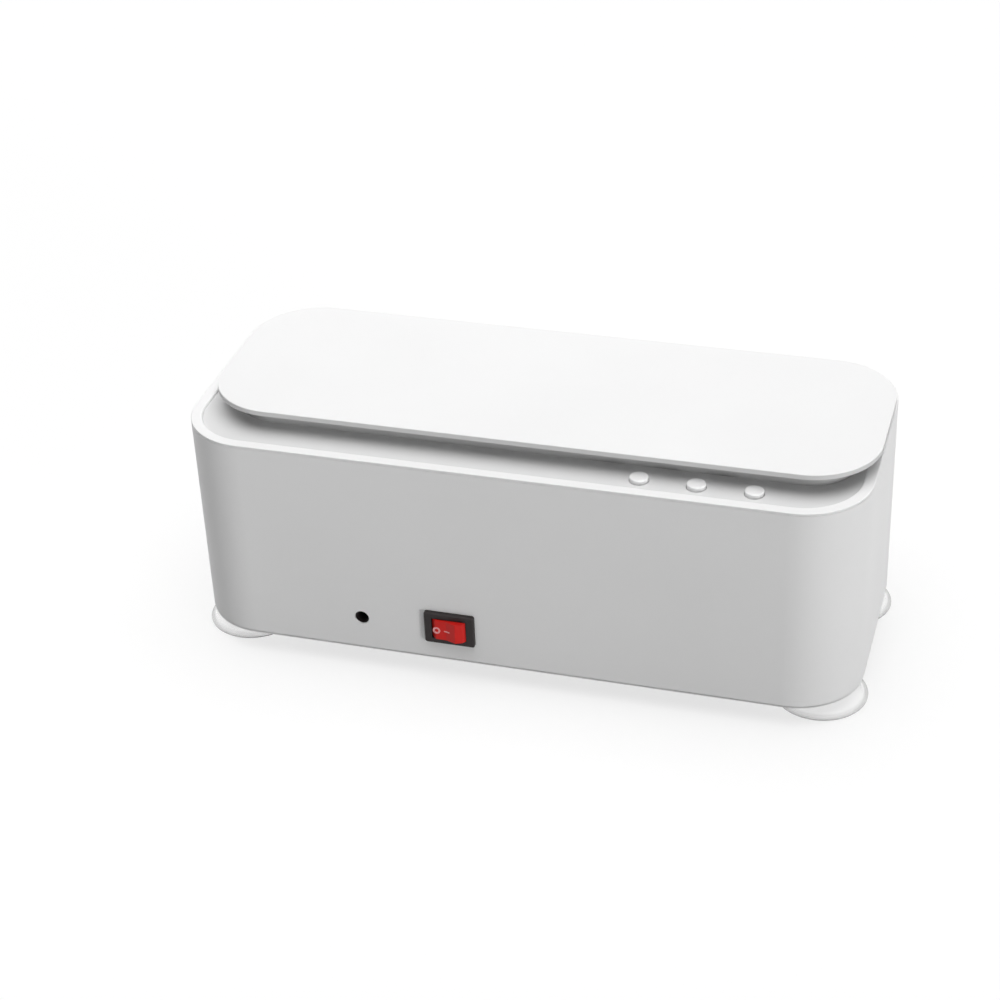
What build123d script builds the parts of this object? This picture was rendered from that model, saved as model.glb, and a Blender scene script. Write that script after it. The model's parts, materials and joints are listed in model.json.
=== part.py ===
from build123d import *
import os
from math import atan2, cos, radians, sin, sqrt, tan

os.makedirs("parts", exist_ok=True)

# Frame: +X along the length, -Y towards the front with the switch, +Z up.
# The origin lies on the table, under the middle of the body. All sizes in mm.

# ------------------------------------------------------------------ driving dimensions
# housing
BODY_LENGTH = 190.0
BODY_DEPTH = 80.0
BODY_CORNER = 19.0
OVERALL_HEIGHT = 75.0       # table to the top of the lid
WALL = 2.1
RIM_WIDTH = 3.1             # raised border round the deck
RIM_RISE = 0.85             # deck surface to the top of the border
RIM_OUTER_ROUND = 0.25
RIM_INNER_ROUND = 0.45
DECK_THICKNESS = 3.2
COVE_RADIUS = 0.35
PARTING_HEIGHT = 0.15       # fine groove round the outside, under the border
PARTING_DEPTH = 0.15
FIT = 0.15                  # clearance between moulded pieces that locate each other

# bottom cover and its seam
COVER_THICKNESS = 2.0
COVER_INSET = 0.1
COVER_EDGE = 0.5            # visible height of the cover's edge
COVER_EDGE_ROUND = 0.3
SEAM_HEIGHT = 0.25
SEAM_DEPTH = 0.7
LIP_THICKNESS = 1.6
LIP_RISE = 2.5

# suction-cup feet
FOOT_DROP = 6.4             # table to the underside of the cover
FOOT_END_INSET = 11.5       # body's end to the foot's axis
FOOT_SIDE_INSET = 17.5      # body's front or back to the foot's axis
CUP_RADIUS = 13.0
CUP_RIM = 1.6               # width of the ring that touches the table
CUP_EDGE = 0.7
CUP_DOME = 3.8              # height of the hollow under the cup
CUP_NECK_RADIUS = 4.6
CUP_NECK_HEIGHT = 1.8
NUB_RADIUS = 2.6
NUB_HEAD_RADIUS = 3.5
NUB_HEAD_HEIGHT = 1.6
NUB_GAP = 0.1

# lid
LID_CHANNEL = 9.4           # body's front or back to the lid's edge
LID_LEFT_GAP = 4.9          # body's left end to the lid's
LID_RIGHT_REACH = 0.5       # the lid's right end passes the body's by this much
LID_CORNER = 19.0
LID_THICKNESS = 1.5
LID_RISE = 5.3              # deck to the underside of the top plate
LID_OVERHANG = 5.7
LID_EDGE_ROUND = 0.2
LINER_ROOF = 1.6
LINER_WALL = 1.6
PLUG_DEPTH = 6.0
LINER_RIB = 1.2
LINER_RIB_HEIGHT = 4.0
LINER_RIB_COUNT = 3

# tank
REBATE_INSET = 0.6          # the rebate hides this far inside the liner
GASKET_THICKNESS = 0.8
TANK_WALL = 0.8
TANK_CLEARANCE = 2.2        # tallest part on the driver board to the tank
TANK_BOTTOM_ROUND = 7.0
FLANGE_WIDTH = 3.0
FLANGE_GAP = 0.3
TANK_GAP = 0.4              # between the tank and the deck's opening
PLUG_GAP = 1.2              # between the plug and the tank
SEAL_HEIGHT = 2.0
SEAL_GROOVE = 0.5
SEAL_DROP = 1.0
SEAL_GAP = 0.3

# transducer
TRANSDUCER_RADIUS = 20.0
TRANSDUCER_THICKNESS = 3.0
TRANSDUCER_CHAMFER = 0.3
BOND_THICKNESS = 0.3

# buttons and their board
BUTTON_COUNT = 3
BUTTON_PITCH = 15.3
BUTTON_END_INSET = 45.0     # body's right end to the middle button
BUTTON_FRONT_INSET = 8.2    # body's front to the buttons' axes
BUTTON_RADIUS = 2.55
BUTTON_PROUD = 1.2
BUTTON_ROUND = 0.35
BUTTON_TRAVEL = 0.6
BUTTON_GAP = 0.15
COLLAR_RADIUS = 3.9
COLLAR_THICKNESS = 1.0
COLLAR_GAP = 0.3
STEM_RADIUS = 1.6
STEM_LENGTH = 0.9
PLUNGER_RADIUS = 1.7
PLUNGER_PROUD = 1.5
PLUNGER_DEPTH = 1.5
PLUNGER_CHAMFER = 0.15
TACT_SIDE = 6.0
TACT_HEIGHT = 3.5
TACT_CHAMFER = 0.6
BOARD_THICKNESS = 1.6
BUTTON_BOARD_DEPTH = 12.0
POST_RADIUS = 2.4
POST_GAP = 0.8              # between a post and the outer button's collar
POST_MARGIN = 2.9           # post axis to the end of the board

# rocker switch
SWITCH_X = -17.3
SWITCH_HEIGHT = 11.3        # cover underside to the middle of the switch
BEZEL_WIDTH = 14.4
BEZEL_HEIGHT = 10.1
BEZEL_THICKNESS = 1.3
BEZEL_CORNER = 0.7
BEZEL_CHAMFER = 0.35
SWITCH_BODY_WIDTH = 13.4
SWITCH_BODY_HEIGHT = 8.8
SWITCH_BODY_DEPTH = 11.0
CUTOUT_GAP = 0.1
ROCKER_WIDTH = 9.4          # at the bezel's face
ROCKER_HEIGHT = 6.2
ROCKER_GAP = 0.2
ROCKER_TILT = 10.0          # degrees each side of the middle
ROCKER_CREST = 3.0          # middle of the rocker to its crest
ROCKER_FACE = 1.9           # middle of the rocker's face above the wall
ROCKER_BELLY = 0.4          # rocker's underside behind the pivot axis
PIVOT_DEPTH = 1.7           # pivot axis behind the wall's face
PIVOT_RADIUS = 0.9
PIVOT_LENGTH = 0.7
PIVOT_GAP = 0.06
CHAMBER_DEPTH = 4.2         # switch's open chamber behind the wall's face
BLADE_WIDTH = 4.0
BLADE_THICKNESS = 0.6
BLADE_LENGTH = 6.0
BLADE_SPACING = 7.0
BLADE_HOLE_REACH = 3.6      # root of the blade to the middle of its hole
BLADE_HOLE_LENGTH = 2.0
BLADE_HOLE_WIDTH = 1.3
TAB_PROUD = 0.6
TAB_LENGTH = 4.0
TAB_HEIGHT = 4.0

# DC inlet
JACK_BOARD_INSET = 15.2     # driver board's right edge to the inlet's axis
JACK_HEIGHT = 10.6          # cover underside to the axis
INLET_RADIUS = 2.1
JACK_WIDTH = 6.6
JACK_BODY_HEIGHT = 5.8
JACK_CHAMFER = 0.7
JACK_LENGTH = 11.0
JACK_BORE_RADIUS = 1.75
JACK_BORE_DEPTH = 9.5
JACK_MOUTH_CHAMFER = 0.2
JACK_NOSE_GAP = 0.05        # between the nose and the wall's hole
JACK_NOSE_SHORT = 0.3       # the nose ends this far inside the wall's face
JACK_PIN_RADIUS = 0.65
JACK_PIN_ROUND = 0.3
JACK_PIN_SHORT = 1.2        # the pin ends this far behind the inside of the wall
JACK_LUG_LENGTH = 3.0
JACK_LUG_WIDTH = 1.8
JACK_LUG_THICKNESS = 0.5
JACK_SIDE_LUG_REACH = 7.7   # mouth to the middle of the side lugs

# cover screws and bosses
BOSS_RADIUS = 3.4
BOSS_RISE = 20.0
BOSS_RIB = 1.6
BOSS_END_INSET = 33.0       # body's end to the outer bosses
LIP_GAP = 0.3               # between the lip of the cover and the bosses
PAD_HEIGHT = 1.0
SCREW_HEAD_RADIUS = 2.8
SCREW_HEAD_HEIGHT = 1.5
SCREW_SHANK_RADIUS = 1.4
SCREW_LENGTH = 10.0
SCREW_GAP = 0.1
COUNTERBORE_DEPTH = 1.8
SMALL_HEAD_RADIUS = 2.1
SMALL_HEAD_HEIGHT = 1.2
SMALL_SHANK_RADIUS = 1.0
SMALL_SCREW_LENGTH = 4.0
RECESS_WIDTH = 0.25         # width and depth of the cross recess, as shares of the head's
RECESS_DEPTH = 0.55

# driver board
BOARD_LENGTH = 52.0
BOARD_END_GAP = 12.9        # inside of the body's left end to the board
BOARD_BOSS_GAP = 1.0        # board's front and back edges to the bosses
BOARD_SCREW_INSET = 3.6
TONGUE_WIDTH = 14.0
TONGUE_GAP = 0.15
STANDOFF_RADIUS = 2.6
BOARD_EDGE_GAP = 2.5        # board's edge to the parts beside it
PART_GAP = 2.4              # between neighbouring parts
LEFT_COLUMN_INSET = 15.4    # board's left edge to the column of tall parts

# what stands on the driver board
CAPACITOR_RADIUS = 4.0
CAPACITOR_HEIGHT = 11.5
CAPACITOR_PITCH = 10.0
CAPACITOR_CRIMP = 0.35
CRIMP_RISE = 1.4            # foot of the can to its crimp
CORE_LENGTH = 16.0
CORE_DEPTH = 5.0
CORE_HEIGHT = 12.4
CORE_LEG = 2.6
CORE_MIDDLE_LEG = 3.6
CORE_BASE = 1.2
BASE_CHAMFER = 0.6
COIL_GAP = 0.15
COIL_PROUD = 2.6
COIL_CORNER = 1.3
INDUCTOR_RADIUS = 5.0
INDUCTOR_HEIGHT = 8.0
INDUCTOR_FLANGE = 1.2
INDUCTOR_WAIST = 0.8
FILM_LENGTH = 10.0
FILM_DEPTH = 4.2
FILM_HEIGHT = 8.0
FILM_CORNER = 1.05
CHIP_LENGTH = 10.0
CHIP_DEPTH = 6.4
CHIP_HEIGHT = 3.2
CHIP_LIFT = 0.6
CHIP_NOTCH = 0.8
CHIP_LEGS = 4
LEG_PITCH = 2.54
LEG_WIDTH = 0.6
LEG_REACH = 1.6             # how far the chip's legs run up its sides
CONNECTOR_COUNT = 3
CONNECTOR_LENGTH = 7.4
CONNECTOR_DEPTH = 5.6
CONNECTOR_HEIGHT = 5.8
CONNECTOR_GAP = 1.6
CONNECTOR_WALL = 0.7
CONNECTOR_WELL = 4.6
TRANSISTOR_WIDTH = 10.0
TRANSISTOR_DEPTH = 4.4
TRANSISTOR_HEIGHT = 9.0
TRANSISTOR_LIFT = 2.0
TRANSISTOR_LEGS = 3
TAB_PLATE = 1.3
TAB_PLATE_HEIGHT = 10.5
SINK_WIDTH = 18.0
SINK_BASE = 2.0
SINK_FIN = 1.2
SINK_FIN_DEPTH = 7.0
SINK_FINS = 6
SINK_HEIGHT = 13.0

# ------------------------------------------------------------------ levels and derived sizes
FRONT = -BODY_DEPTH / 2
FRONT_INSIDE = FRONT + WALL
RIGHT = BODY_LENGTH / 2
LEFT = -RIGHT

COVER_UNDER = FOOT_DROP
COVER_TOP = COVER_UNDER + COVER_THICKNESS
SHELL_FOOT = COVER_UNDER + COVER_EDGE + SEAM_HEIGHT
LIP_TOP = COVER_TOP + LIP_RISE
LID_UNDER = OVERALL_HEIGHT - LID_THICKNESS
DECK_TOP = LID_UNDER - LID_RISE
DECK_UNDER = DECK_TOP - DECK_THICKNESS
RIM_TOP = DECK_TOP + RIM_RISE
LIP_INSET = WALL + FIT
PLATE_INSET = LIP_INSET + LIP_THICKNESS

BOSS_X = RIGHT - BOSS_END_INSET
BOSS_Y = -FRONT - PLATE_INSET - LIP_GAP - BOSS_RADIUS
BOSS_FOOT = COVER_TOP + PAD_HEIGHT
COVER_SCREW_POINTS = [(x, y) for x in (-BOSS_X, 0, BOSS_X) for y in (-BOSS_Y, BOSS_Y)]
FOOT_POINTS = {
    "front_left": (LEFT + FOOT_END_INSET, FRONT + FOOT_SIDE_INSET),
    "front_right": (RIGHT - FOOT_END_INSET, FRONT + FOOT_SIDE_INSET),
    "back_left": (LEFT + FOOT_END_INSET, -FRONT - FOOT_SIDE_INSET),
    "back_right": (RIGHT - FOOT_END_INSET, -FRONT - FOOT_SIDE_INSET),
}

SWITCH_Z = COVER_UNDER + SWITCH_HEIGHT
PIVOT_Y = FRONT + PIVOT_DEPTH
BEZEL_FACE = PIVOT_DEPTH + BEZEL_THICKNESS
ROCKER_REACH = sqrt((ROCKER_WIDTH / 2) ** 2 + BEZEL_FACE**2)
JACK_Z = COVER_UNDER + JACK_HEIGHT

BOARD_TOP = JACK_Z - JACK_BODY_HEIGHT / 2
BOARD_UNDER = BOARD_TOP - BOARD_THICKNESS
BOARD_X = LEFT + WALL + BOARD_END_GAP + BOARD_LENGTH / 2
BOARD_BACK = BOSS_Y - BOSS_RADIUS - BOARD_BOSS_GAP
BOARD_DEPTH = 2 * BOARD_BACK
JACK_X = BOARD_X + BOARD_LENGTH / 2 - JACK_BOARD_INSET
SCREW_REACH_X = BOARD_LENGTH / 2 - BOARD_SCREW_INSET
SCREW_REACH_Y = BOARD_BACK - BOARD_SCREW_INSET
BOARD_SCREW_POINTS = [(BOARD_X + i * SCREW_REACH_X, j * SCREW_REACH_Y) for i in (-1, 1) for j in (-1, 1)]

# parts on the driver board: a column of tall ones on the left, low ones beside it, plugs along the right edge
CAPACITOR_Y = -BOARD_BACK + BOARD_EDGE_GAP + CAPACITOR_RADIUS
TRANSFORMER_Y = CAPACITOR_Y + CAPACITOR_RADIUS + PART_GAP + CORE_DEPTH / 2 + COIL_PROUD
SINK_FACE = BOARD_BACK - BOARD_EDGE_GAP - SINK_FIN_DEPTH - SINK_BASE
FILM_Y = TRANSFORMER_Y - CORE_DEPTH / 2
FILM_PITCH = FILM_DEPTH + PART_GAP
INDUCTOR_Y = FILM_Y + FILM_PITCH + FILM_DEPTH / 2 + PART_GAP + INDUCTOR_RADIUS
CHIP_Y = INDUCTOR_Y + INDUCTOR_RADIUS + PART_GAP + CHIP_DEPTH / 2 + LEG_WIDTH
CONNECTOR_X = BOARD_X + BOARD_LENGTH / 2 - BOARD_EDGE_GAP - CONNECTOR_DEPTH / 2
CONNECTOR_PITCH = CONNECTOR_LENGTH + CONNECTOR_GAP
TALL_X = BOARD_X - BOARD_LENGTH / 2 + LEFT_COLUMN_INSET
LOW_X = CONNECTOR_X - CONNECTOR_DEPTH / 2 - PART_GAP - FILM_LENGTH / 2
TALLEST_PART = max(CORE_BASE + CORE_HEIGHT, CAPACITOR_HEIGHT, SINK_HEIGHT)

LID_LENGTH = BODY_LENGTH - LID_LEFT_GAP + LID_RIGHT_REACH
LID_DEPTH = BODY_DEPTH - 2 * LID_CHANNEL
LID_X = (LID_LEFT_GAP + LID_RIGHT_REACH) / 2
# how far inside the lid's outline each piece below it ends
REBATE_INSIDE = LID_OVERHANG + REBATE_INSET
FLANGE_INSIDE = REBATE_INSIDE + FLANGE_GAP
TANK_INSIDE = REBATE_INSIDE + FLANGE_WIDTH
OPENING_INSIDE = TANK_INSIDE - TANK_GAP
BASIN_INSIDE = TANK_INSIDE + TANK_WALL
PLUG_INSIDE = BASIN_INSIDE + PLUG_GAP
GROOVE_INSIDE = PLUG_INSIDE + SEAL_GROOVE
HOLLOW_INSIDE = PLUG_INSIDE + LINER_WALL
REBATE_FLOOR = DECK_TOP - GASKET_THICKNESS - TANK_WALL
TANK_UNDER = BOARD_TOP + TALLEST_PART + TANK_CLEARANCE

BUTTON_MIDDLE_X = RIGHT - BUTTON_END_INSET
BUTTON_Y = FRONT + BUTTON_FRONT_INSET
BUTTON_XS = [BUTTON_MIDDLE_X + BUTTON_PITCH * (i - (BUTTON_COUNT - 1) / 2) for i in range(BUTTON_COUNT)]
BUTTON_POINTS = [(x, BUTTON_Y) for x in BUTTON_XS]
BUTTON_NAMES = ["left", "middle", "right"]
COLLAR_TOP = DECK_UNDER - COLLAR_GAP
STEM_FOOT = COLLAR_TOP - COLLAR_THICKNESS - STEM_LENGTH
TACT_TOP = STEM_FOOT - PLUNGER_PROUD
TACT_WELL = PLUNGER_DEPTH + BUTTON_TRAVEL + BUTTON_GAP
BUTTON_BOARD_TOP = TACT_TOP - TACT_HEIGHT
BUTTON_BOARD_Y = FRONT_INSIDE + FIT + BUTTON_BOARD_DEPTH / 2
POST_REACH = COLLAR_RADIUS + POST_GAP + POST_RADIUS
POST_POINTS = [(BUTTON_XS[0] - POST_REACH, BUTTON_BOARD_Y), (BUTTON_XS[-1] + POST_REACH, BUTTON_BOARD_Y)]
BUTTON_BOARD_LENGTH = POST_POINTS[1][0] - POST_POINTS[0][0] + 2 * POST_MARGIN


# ------------------------------------------------------------------ helpers
def body_outline(inset, mode=Mode.ADD):
    """The body's rounded outline, drawn smaller by an inset all round."""
    RectangleRounded(BODY_LENGTH - 2 * inset, BODY_DEPTH - 2 * inset, BODY_CORNER - inset, mode=mode)


def lid_outline(inset, mode=Mode.ADD):
    """The lid's rounded outline, drawn smaller by an inset all round."""
    with Locations((LID_X, 0)):
        RectangleRounded(LID_LENGTH - 2 * inset, LID_DEPTH - 2 * inset, LID_CORNER - inset, mode=mode)


def dome_arc(start, end):
    """An arc in the XZ plane from start to end, its centre on the Z axis, so that it turns into a sphere."""
    centre = (start[0] ** 2 + start[1] ** 2 - end[0] ** 2 - end[1] ** 2) / (2 * (start[1] - end[1]))
    angles = [atan2(z - centre, r) for r, z in (start, end)]
    reach = sqrt(start[0] ** 2 + (start[1] - centre) ** 2)
    middle = (angles[0] + angles[1]) / 2
    return ThreePointArc(start, (reach * cos(middle), centre + reach * sin(middle)), end)


def finish(builder, name):
    """Label a finished piece and write it to its own file."""
    builder.part.label = name
    export_step(builder.part, f"parts/{name}.step")


# ------------------------------------------------------------------ outer shell
with BuildPart() as outer_shell:
    with BuildSketch(Plane.XY.offset(SHELL_FOOT)):
        body_outline(0)
    extrude(amount=RIM_TOP - SHELL_FOOT)
    with BuildSketch(Plane.XY.offset(SHELL_FOOT)):
        body_outline(WALL)
    extrude(amount=DECK_UNDER - SHELL_FOOT, mode=Mode.SUBTRACT)
    with BuildSketch(Plane.XY.offset(DECK_TOP)):
        body_outline(RIM_WIDTH)
    extrude(amount=RIM_RISE, mode=Mode.SUBTRACT)
    # the border is rounded on both sides of its flat and runs down to the deck in a cove
    fillet(outer_shell.faces().sort_by(Axis.Z)[-1].outer_wire().edges(), RIM_OUTER_ROUND)
    fillet(outer_shell.faces().sort_by(Axis.Z)[-1].inner_wires()[0].edges(), RIM_INNER_ROUND)
    deck_face = outer_shell.faces().filter_by(Axis.Z).sort_by(Axis.Z)[-2]
    fillet(deck_face.edges(), COVE_RADIUS)
    with BuildSketch(Plane.XY.offset(DECK_TOP)):
        body_outline(0)
        body_outline(PARTING_DEPTH, mode=Mode.SUBTRACT)
    extrude(amount=PARTING_HEIGHT, mode=Mode.SUBTRACT)
    # rebate for the tank's flange and the opening below it
    with BuildSketch(Plane.XY.offset(REBATE_FLOOR)):
        lid_outline(REBATE_INSIDE)
    extrude(amount=DECK_TOP - REBATE_FLOOR, mode=Mode.SUBTRACT)
    with BuildSketch(Plane.XY.offset(DECK_UNDER)):
        lid_outline(OPENING_INSIDE)
    extrude(amount=REBATE_FLOOR - DECK_UNDER, mode=Mode.SUBTRACT)
    # button holes
    with BuildSketch(Plane.XY.offset(DECK_UNDER)):
        with Locations(*BUTTON_POINTS):
            Circle(BUTTON_RADIUS + BUTTON_GAP)
    extrude(amount=DECK_THICKNESS, mode=Mode.SUBTRACT)
    # posts that carry the button board
    with BuildSketch(Plane.XY.offset(BUTTON_BOARD_TOP)):
        with Locations(*POST_POINTS):
            Circle(POST_RADIUS)
            Circle(SMALL_SHANK_RADIUS + SCREW_GAP, mode=Mode.SUBTRACT)
    extrude(amount=DECK_UNDER - BUTTON_BOARD_TOP)
    # screw bosses, each tied to the wall by a rib above the cover's lip
    with BuildSketch(Plane.XY.offset(LIP_TOP + LIP_GAP)):
        for x, y in COVER_SCREW_POINTS:
            wall_y = (BODY_DEPTH - WALL) / 2 * (1 if y > 0 else -1)
            with Locations((x, (y + wall_y) / 2)):
                Rectangle(BOSS_RIB, abs(wall_y - y))
    extrude(amount=BOSS_FOOT + BOSS_RISE - LIP_TOP - LIP_GAP)
    with BuildSketch(Plane.XY.offset(BOSS_FOOT)):
        with Locations(*COVER_SCREW_POINTS):
            Circle(BOSS_RADIUS)
    extrude(amount=BOSS_RISE)
    with BuildSketch(Plane.XY.offset(BOSS_FOOT)):
        with Locations(*COVER_SCREW_POINTS):
            Circle(SCREW_SHANK_RADIUS + SCREW_GAP)
    extrude(amount=SCREW_LENGTH, mode=Mode.SUBTRACT)
    # cut-out of the switch and hole of the DC inlet
    with BuildSketch(Plane.XZ.offset(-FRONT)):
        with Locations((SWITCH_X, SWITCH_Z)):
            Rectangle(SWITCH_BODY_WIDTH + 2 * CUTOUT_GAP, SWITCH_BODY_HEIGHT + 2 * CUTOUT_GAP)
        with Locations((JACK_X, JACK_Z)):
            Circle(INLET_RADIUS)
    extrude(amount=-WALL, mode=Mode.SUBTRACT)
finish(outer_shell, "outer_shell")


# ------------------------------------------------------------------ bottom cover
with BuildPart() as bottom_cover:
    with BuildSketch(Plane.XY.offset(COVER_UNDER)):
        body_outline(COVER_INSET)
    extrude(amount=COVER_EDGE)
    fillet(bottom_cover.faces().sort_by(Axis.Z)[0].edges(), COVER_EDGE_ROUND)
    # the step that leaves a shadow line under the shell
    with BuildSketch(Plane.XY.offset(COVER_UNDER + COVER_EDGE)):
        body_outline(SEAM_DEPTH)
    extrude(amount=SEAM_HEIGHT)
    # plate and lip inside the shell's wall
    with BuildSketch(Plane.XY.offset(SHELL_FOOT)):
        body_outline(LIP_INSET)
    extrude(amount=LIP_TOP - SHELL_FOOT)
    with BuildSketch(Plane.XY.offset(COVER_TOP)):
        body_outline(PLATE_INSET)
    extrude(amount=LIP_RISE, mode=Mode.SUBTRACT)
    # pads under the bosses, with the screws' counterbores
    with BuildSketch(Plane.XY.offset(COVER_TOP)):
        with Locations(*COVER_SCREW_POINTS):
            Circle(BOSS_RADIUS)
    extrude(amount=PAD_HEIGHT)
    with Locations(Plane.XY.offset(COVER_UNDER).rotated((180, 0, 0))):
        with Locations(*COVER_SCREW_POINTS):
            CounterBoreHole(
                SCREW_SHANK_RADIUS + SCREW_GAP,
                SCREW_HEAD_RADIUS + SCREW_GAP,
                COUNTERBORE_DEPTH,
                depth=COVER_THICKNESS + PAD_HEIGHT,
            )
    # sockets of the feet
    with BuildSketch(Plane.XY.offset(COVER_UNDER)):
        with Locations(*FOOT_POINTS.values()):
            Circle(NUB_RADIUS + NUB_GAP)
    extrude(amount=COVER_THICKNESS, mode=Mode.SUBTRACT)
    # standoffs of the driver board
    with BuildSketch(Plane.XY.offset(COVER_TOP)):
        with Locations(*BOARD_SCREW_POINTS):
            Circle(STANDOFF_RADIUS)
            Circle(SMALL_SHANK_RADIUS + SCREW_GAP, mode=Mode.SUBTRACT)
    extrude(amount=BOARD_UNDER - COVER_TOP)
finish(bottom_cover, "bottom_cover")


# ------------------------------------------------------------------ feet
with BuildPart() as suction_cup:
    with BuildSketch(Plane.XZ):
        with BuildLine():
            Polyline(
                (0, CUP_DOME),
                (0, COVER_TOP + NUB_HEAD_HEIGHT),
                (NUB_RADIUS, COVER_TOP + NUB_HEAD_HEIGHT),
                (NUB_HEAD_RADIUS, COVER_TOP),
                (NUB_RADIUS, COVER_TOP),
                (NUB_RADIUS, COVER_UNDER),
                (CUP_NECK_RADIUS, COVER_UNDER),
                (CUP_NECK_RADIUS, COVER_UNDER - CUP_NECK_HEIGHT),
            )
            # skirt of the cup, domed outside and inside, down to the ring that touches the table
            dome_arc((CUP_NECK_RADIUS, COVER_UNDER - CUP_NECK_HEIGHT), (CUP_RADIUS - CUP_EDGE / 2, CUP_EDGE))
            Polyline(
                (CUP_RADIUS - CUP_EDGE / 2, CUP_EDGE),
                (CUP_RADIUS, CUP_EDGE / 2),
                (CUP_RADIUS, 0),
                (CUP_RADIUS - CUP_RIM, 0),
            )
            dome_arc((CUP_RADIUS - CUP_RIM, 0), (0, CUP_DOME))
        make_face()
    revolve(axis=Axis.Z)

for corner, foot_point in FOOT_POINTS.items():
    with BuildPart() as foot:
        with Locations(foot_point):
            add(suction_cup.part)
    finish(foot, f"suction_foot_{corner}")


# ------------------------------------------------------------------ screws
def pan_screw(head_radius, head_height, shank_radius, length):
    """A cross-recessed screw, head down, its seat at the origin and its tip along +Z."""
    with BuildPart() as screw:
        with BuildSketch(Plane.XZ):
            with BuildLine():
                Polyline(
                    (0, -head_height),
                    (0, length),
                    (shank_radius / 2, length),
                    (shank_radius, length - shank_radius),
                    (shank_radius, 0),
                    (head_radius, 0),
                    (head_radius, -head_height / 2),
                )
                dome_arc((head_radius, -head_height / 2), (0, -head_height))
            make_face()
        revolve(axis=Axis.Z)
        with BuildSketch(Plane.XY.offset(-head_height)):
            Rectangle(head_radius, RECESS_WIDTH * head_radius)
            Rectangle(RECESS_WIDTH * head_radius, head_radius)
        extrude(amount=RECESS_DEPTH * head_height, mode=Mode.SUBTRACT)
    return screw.part


small_screw = pan_screw(SMALL_HEAD_RADIUS, SMALL_HEAD_HEIGHT, SMALL_SHANK_RADIUS, SMALL_SCREW_LENGTH)
cover_screw = pan_screw(SCREW_HEAD_RADIUS, SCREW_HEAD_HEIGHT, SCREW_SHANK_RADIUS, SCREW_LENGTH)
with BuildPart() as cover_screws:
    with Locations(*[(x, y, COVER_UNDER + COUNTERBORE_DEPTH) for x, y in COVER_SCREW_POINTS]):
        add(cover_screw)
finish(cover_screws, "cover_screws")


# ------------------------------------------------------------------ tank and its gasket
# what the tank holds: a solid with rounded lower edges that is taken out of it
with BuildPart() as basin:
    with BuildSketch(Plane.XY.offset(TANK_UNDER + TANK_WALL)):
        lid_outline(BASIN_INSIDE)
    extrude(amount=DECK_TOP - TANK_UNDER - TANK_WALL)
    fillet(basin.faces().sort_by(Axis.Z)[0].edges(), TANK_BOTTOM_ROUND)

with BuildPart() as tank:
    with BuildSketch(Plane.XY.offset(TANK_UNDER)):
        lid_outline(TANK_INSIDE)
    extrude(amount=DECK_TOP - TANK_UNDER)
    fillet(tank.faces().sort_by(Axis.Z)[0].edges(), TANK_BOTTOM_ROUND + TANK_WALL)
    with BuildSketch(Plane.XY.offset(DECK_TOP - TANK_WALL)):
        lid_outline(FLANGE_INSIDE)
    extrude(amount=TANK_WALL)
    add(basin.part, mode=Mode.SUBTRACT)
finish(tank, "tank")

with BuildPart() as tank_gasket:
    with BuildSketch(Plane.XY.offset(REBATE_FLOOR)):
        lid_outline(FLANGE_INSIDE)
        lid_outline(OPENING_INSIDE, mode=Mode.SUBTRACT)
    extrude(amount=GASKET_THICKNESS)
finish(tank_gasket, "tank_gasket")


# ------------------------------------------------------------------ transducer
with BuildPart() as transducer_bond:
    with BuildSketch(Plane.XY.offset(TANK_UNDER)):
        with Locations((LID_X, 0)):
            Circle(TRANSDUCER_RADIUS)
    extrude(amount=-BOND_THICKNESS)
finish(transducer_bond, "transducer_bond")

with BuildPart() as transducer_disc:
    with BuildSketch(Plane.XY.offset(TANK_UNDER - BOND_THICKNESS)):
        with Locations((LID_X, 0)):
            Circle(TRANSDUCER_RADIUS)
    extrude(amount=-TRANSDUCER_THICKNESS)
    chamfer(transducer_disc.edges().filter_by(GeomType.CIRCLE), TRANSDUCER_CHAMFER)
finish(transducer_disc, "transducer_disc")


# ------------------------------------------------------------------ lid
with BuildPart() as lid_cover:
    with BuildSketch(Plane.XY.offset(LID_UNDER)):
        lid_outline(0)
    extrude(amount=LID_THICKNESS)
    fillet(lid_cover.faces().sort_by(Axis.Z)[-1].edges(), LID_EDGE_ROUND)
finish(lid_cover, "lid_cover")

with BuildPart() as lid_liner:
    with BuildSketch(Plane.XY.offset(DECK_TOP)):
        lid_outline(LID_OVERHANG)
    extrude(amount=LID_RISE)
    # plug that reaches into the tank, with a groove for the seal
    with BuildSketch(Plane.XY.offset(DECK_TOP - PLUG_DEPTH)):
        lid_outline(PLUG_INSIDE)
    extrude(amount=PLUG_DEPTH)
    with BuildSketch(Plane.XY.offset(DECK_TOP - SEAL_DROP)):
        lid_outline(BASIN_INSIDE)
        lid_outline(GROOVE_INSIDE, mode=Mode.SUBTRACT)
    extrude(amount=-SEAL_HEIGHT, mode=Mode.SUBTRACT)
    # hollow underside with cross ribs
    with BuildSketch(Plane.XY.offset(DECK_TOP - PLUG_DEPTH)):
        lid_outline(HOLLOW_INSIDE)
    extrude(amount=PLUG_DEPTH + LID_RISE - LINER_ROOF, mode=Mode.SUBTRACT)
    with BuildSketch(Plane.XY.offset(LID_UNDER - LINER_ROOF)):
        rib_pitch = (LID_LENGTH - 2 * HOLLOW_INSIDE) / (LINER_RIB_COUNT + 1)
        with Locations((LID_X, 0)):
            with GridLocations(rib_pitch, 0, LINER_RIB_COUNT, 1):
                Rectangle(LINER_RIB, LID_DEPTH - 2 * HOLLOW_INSIDE)
    extrude(amount=-LINER_RIB_HEIGHT)
finish(lid_liner, "lid_liner")

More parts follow.
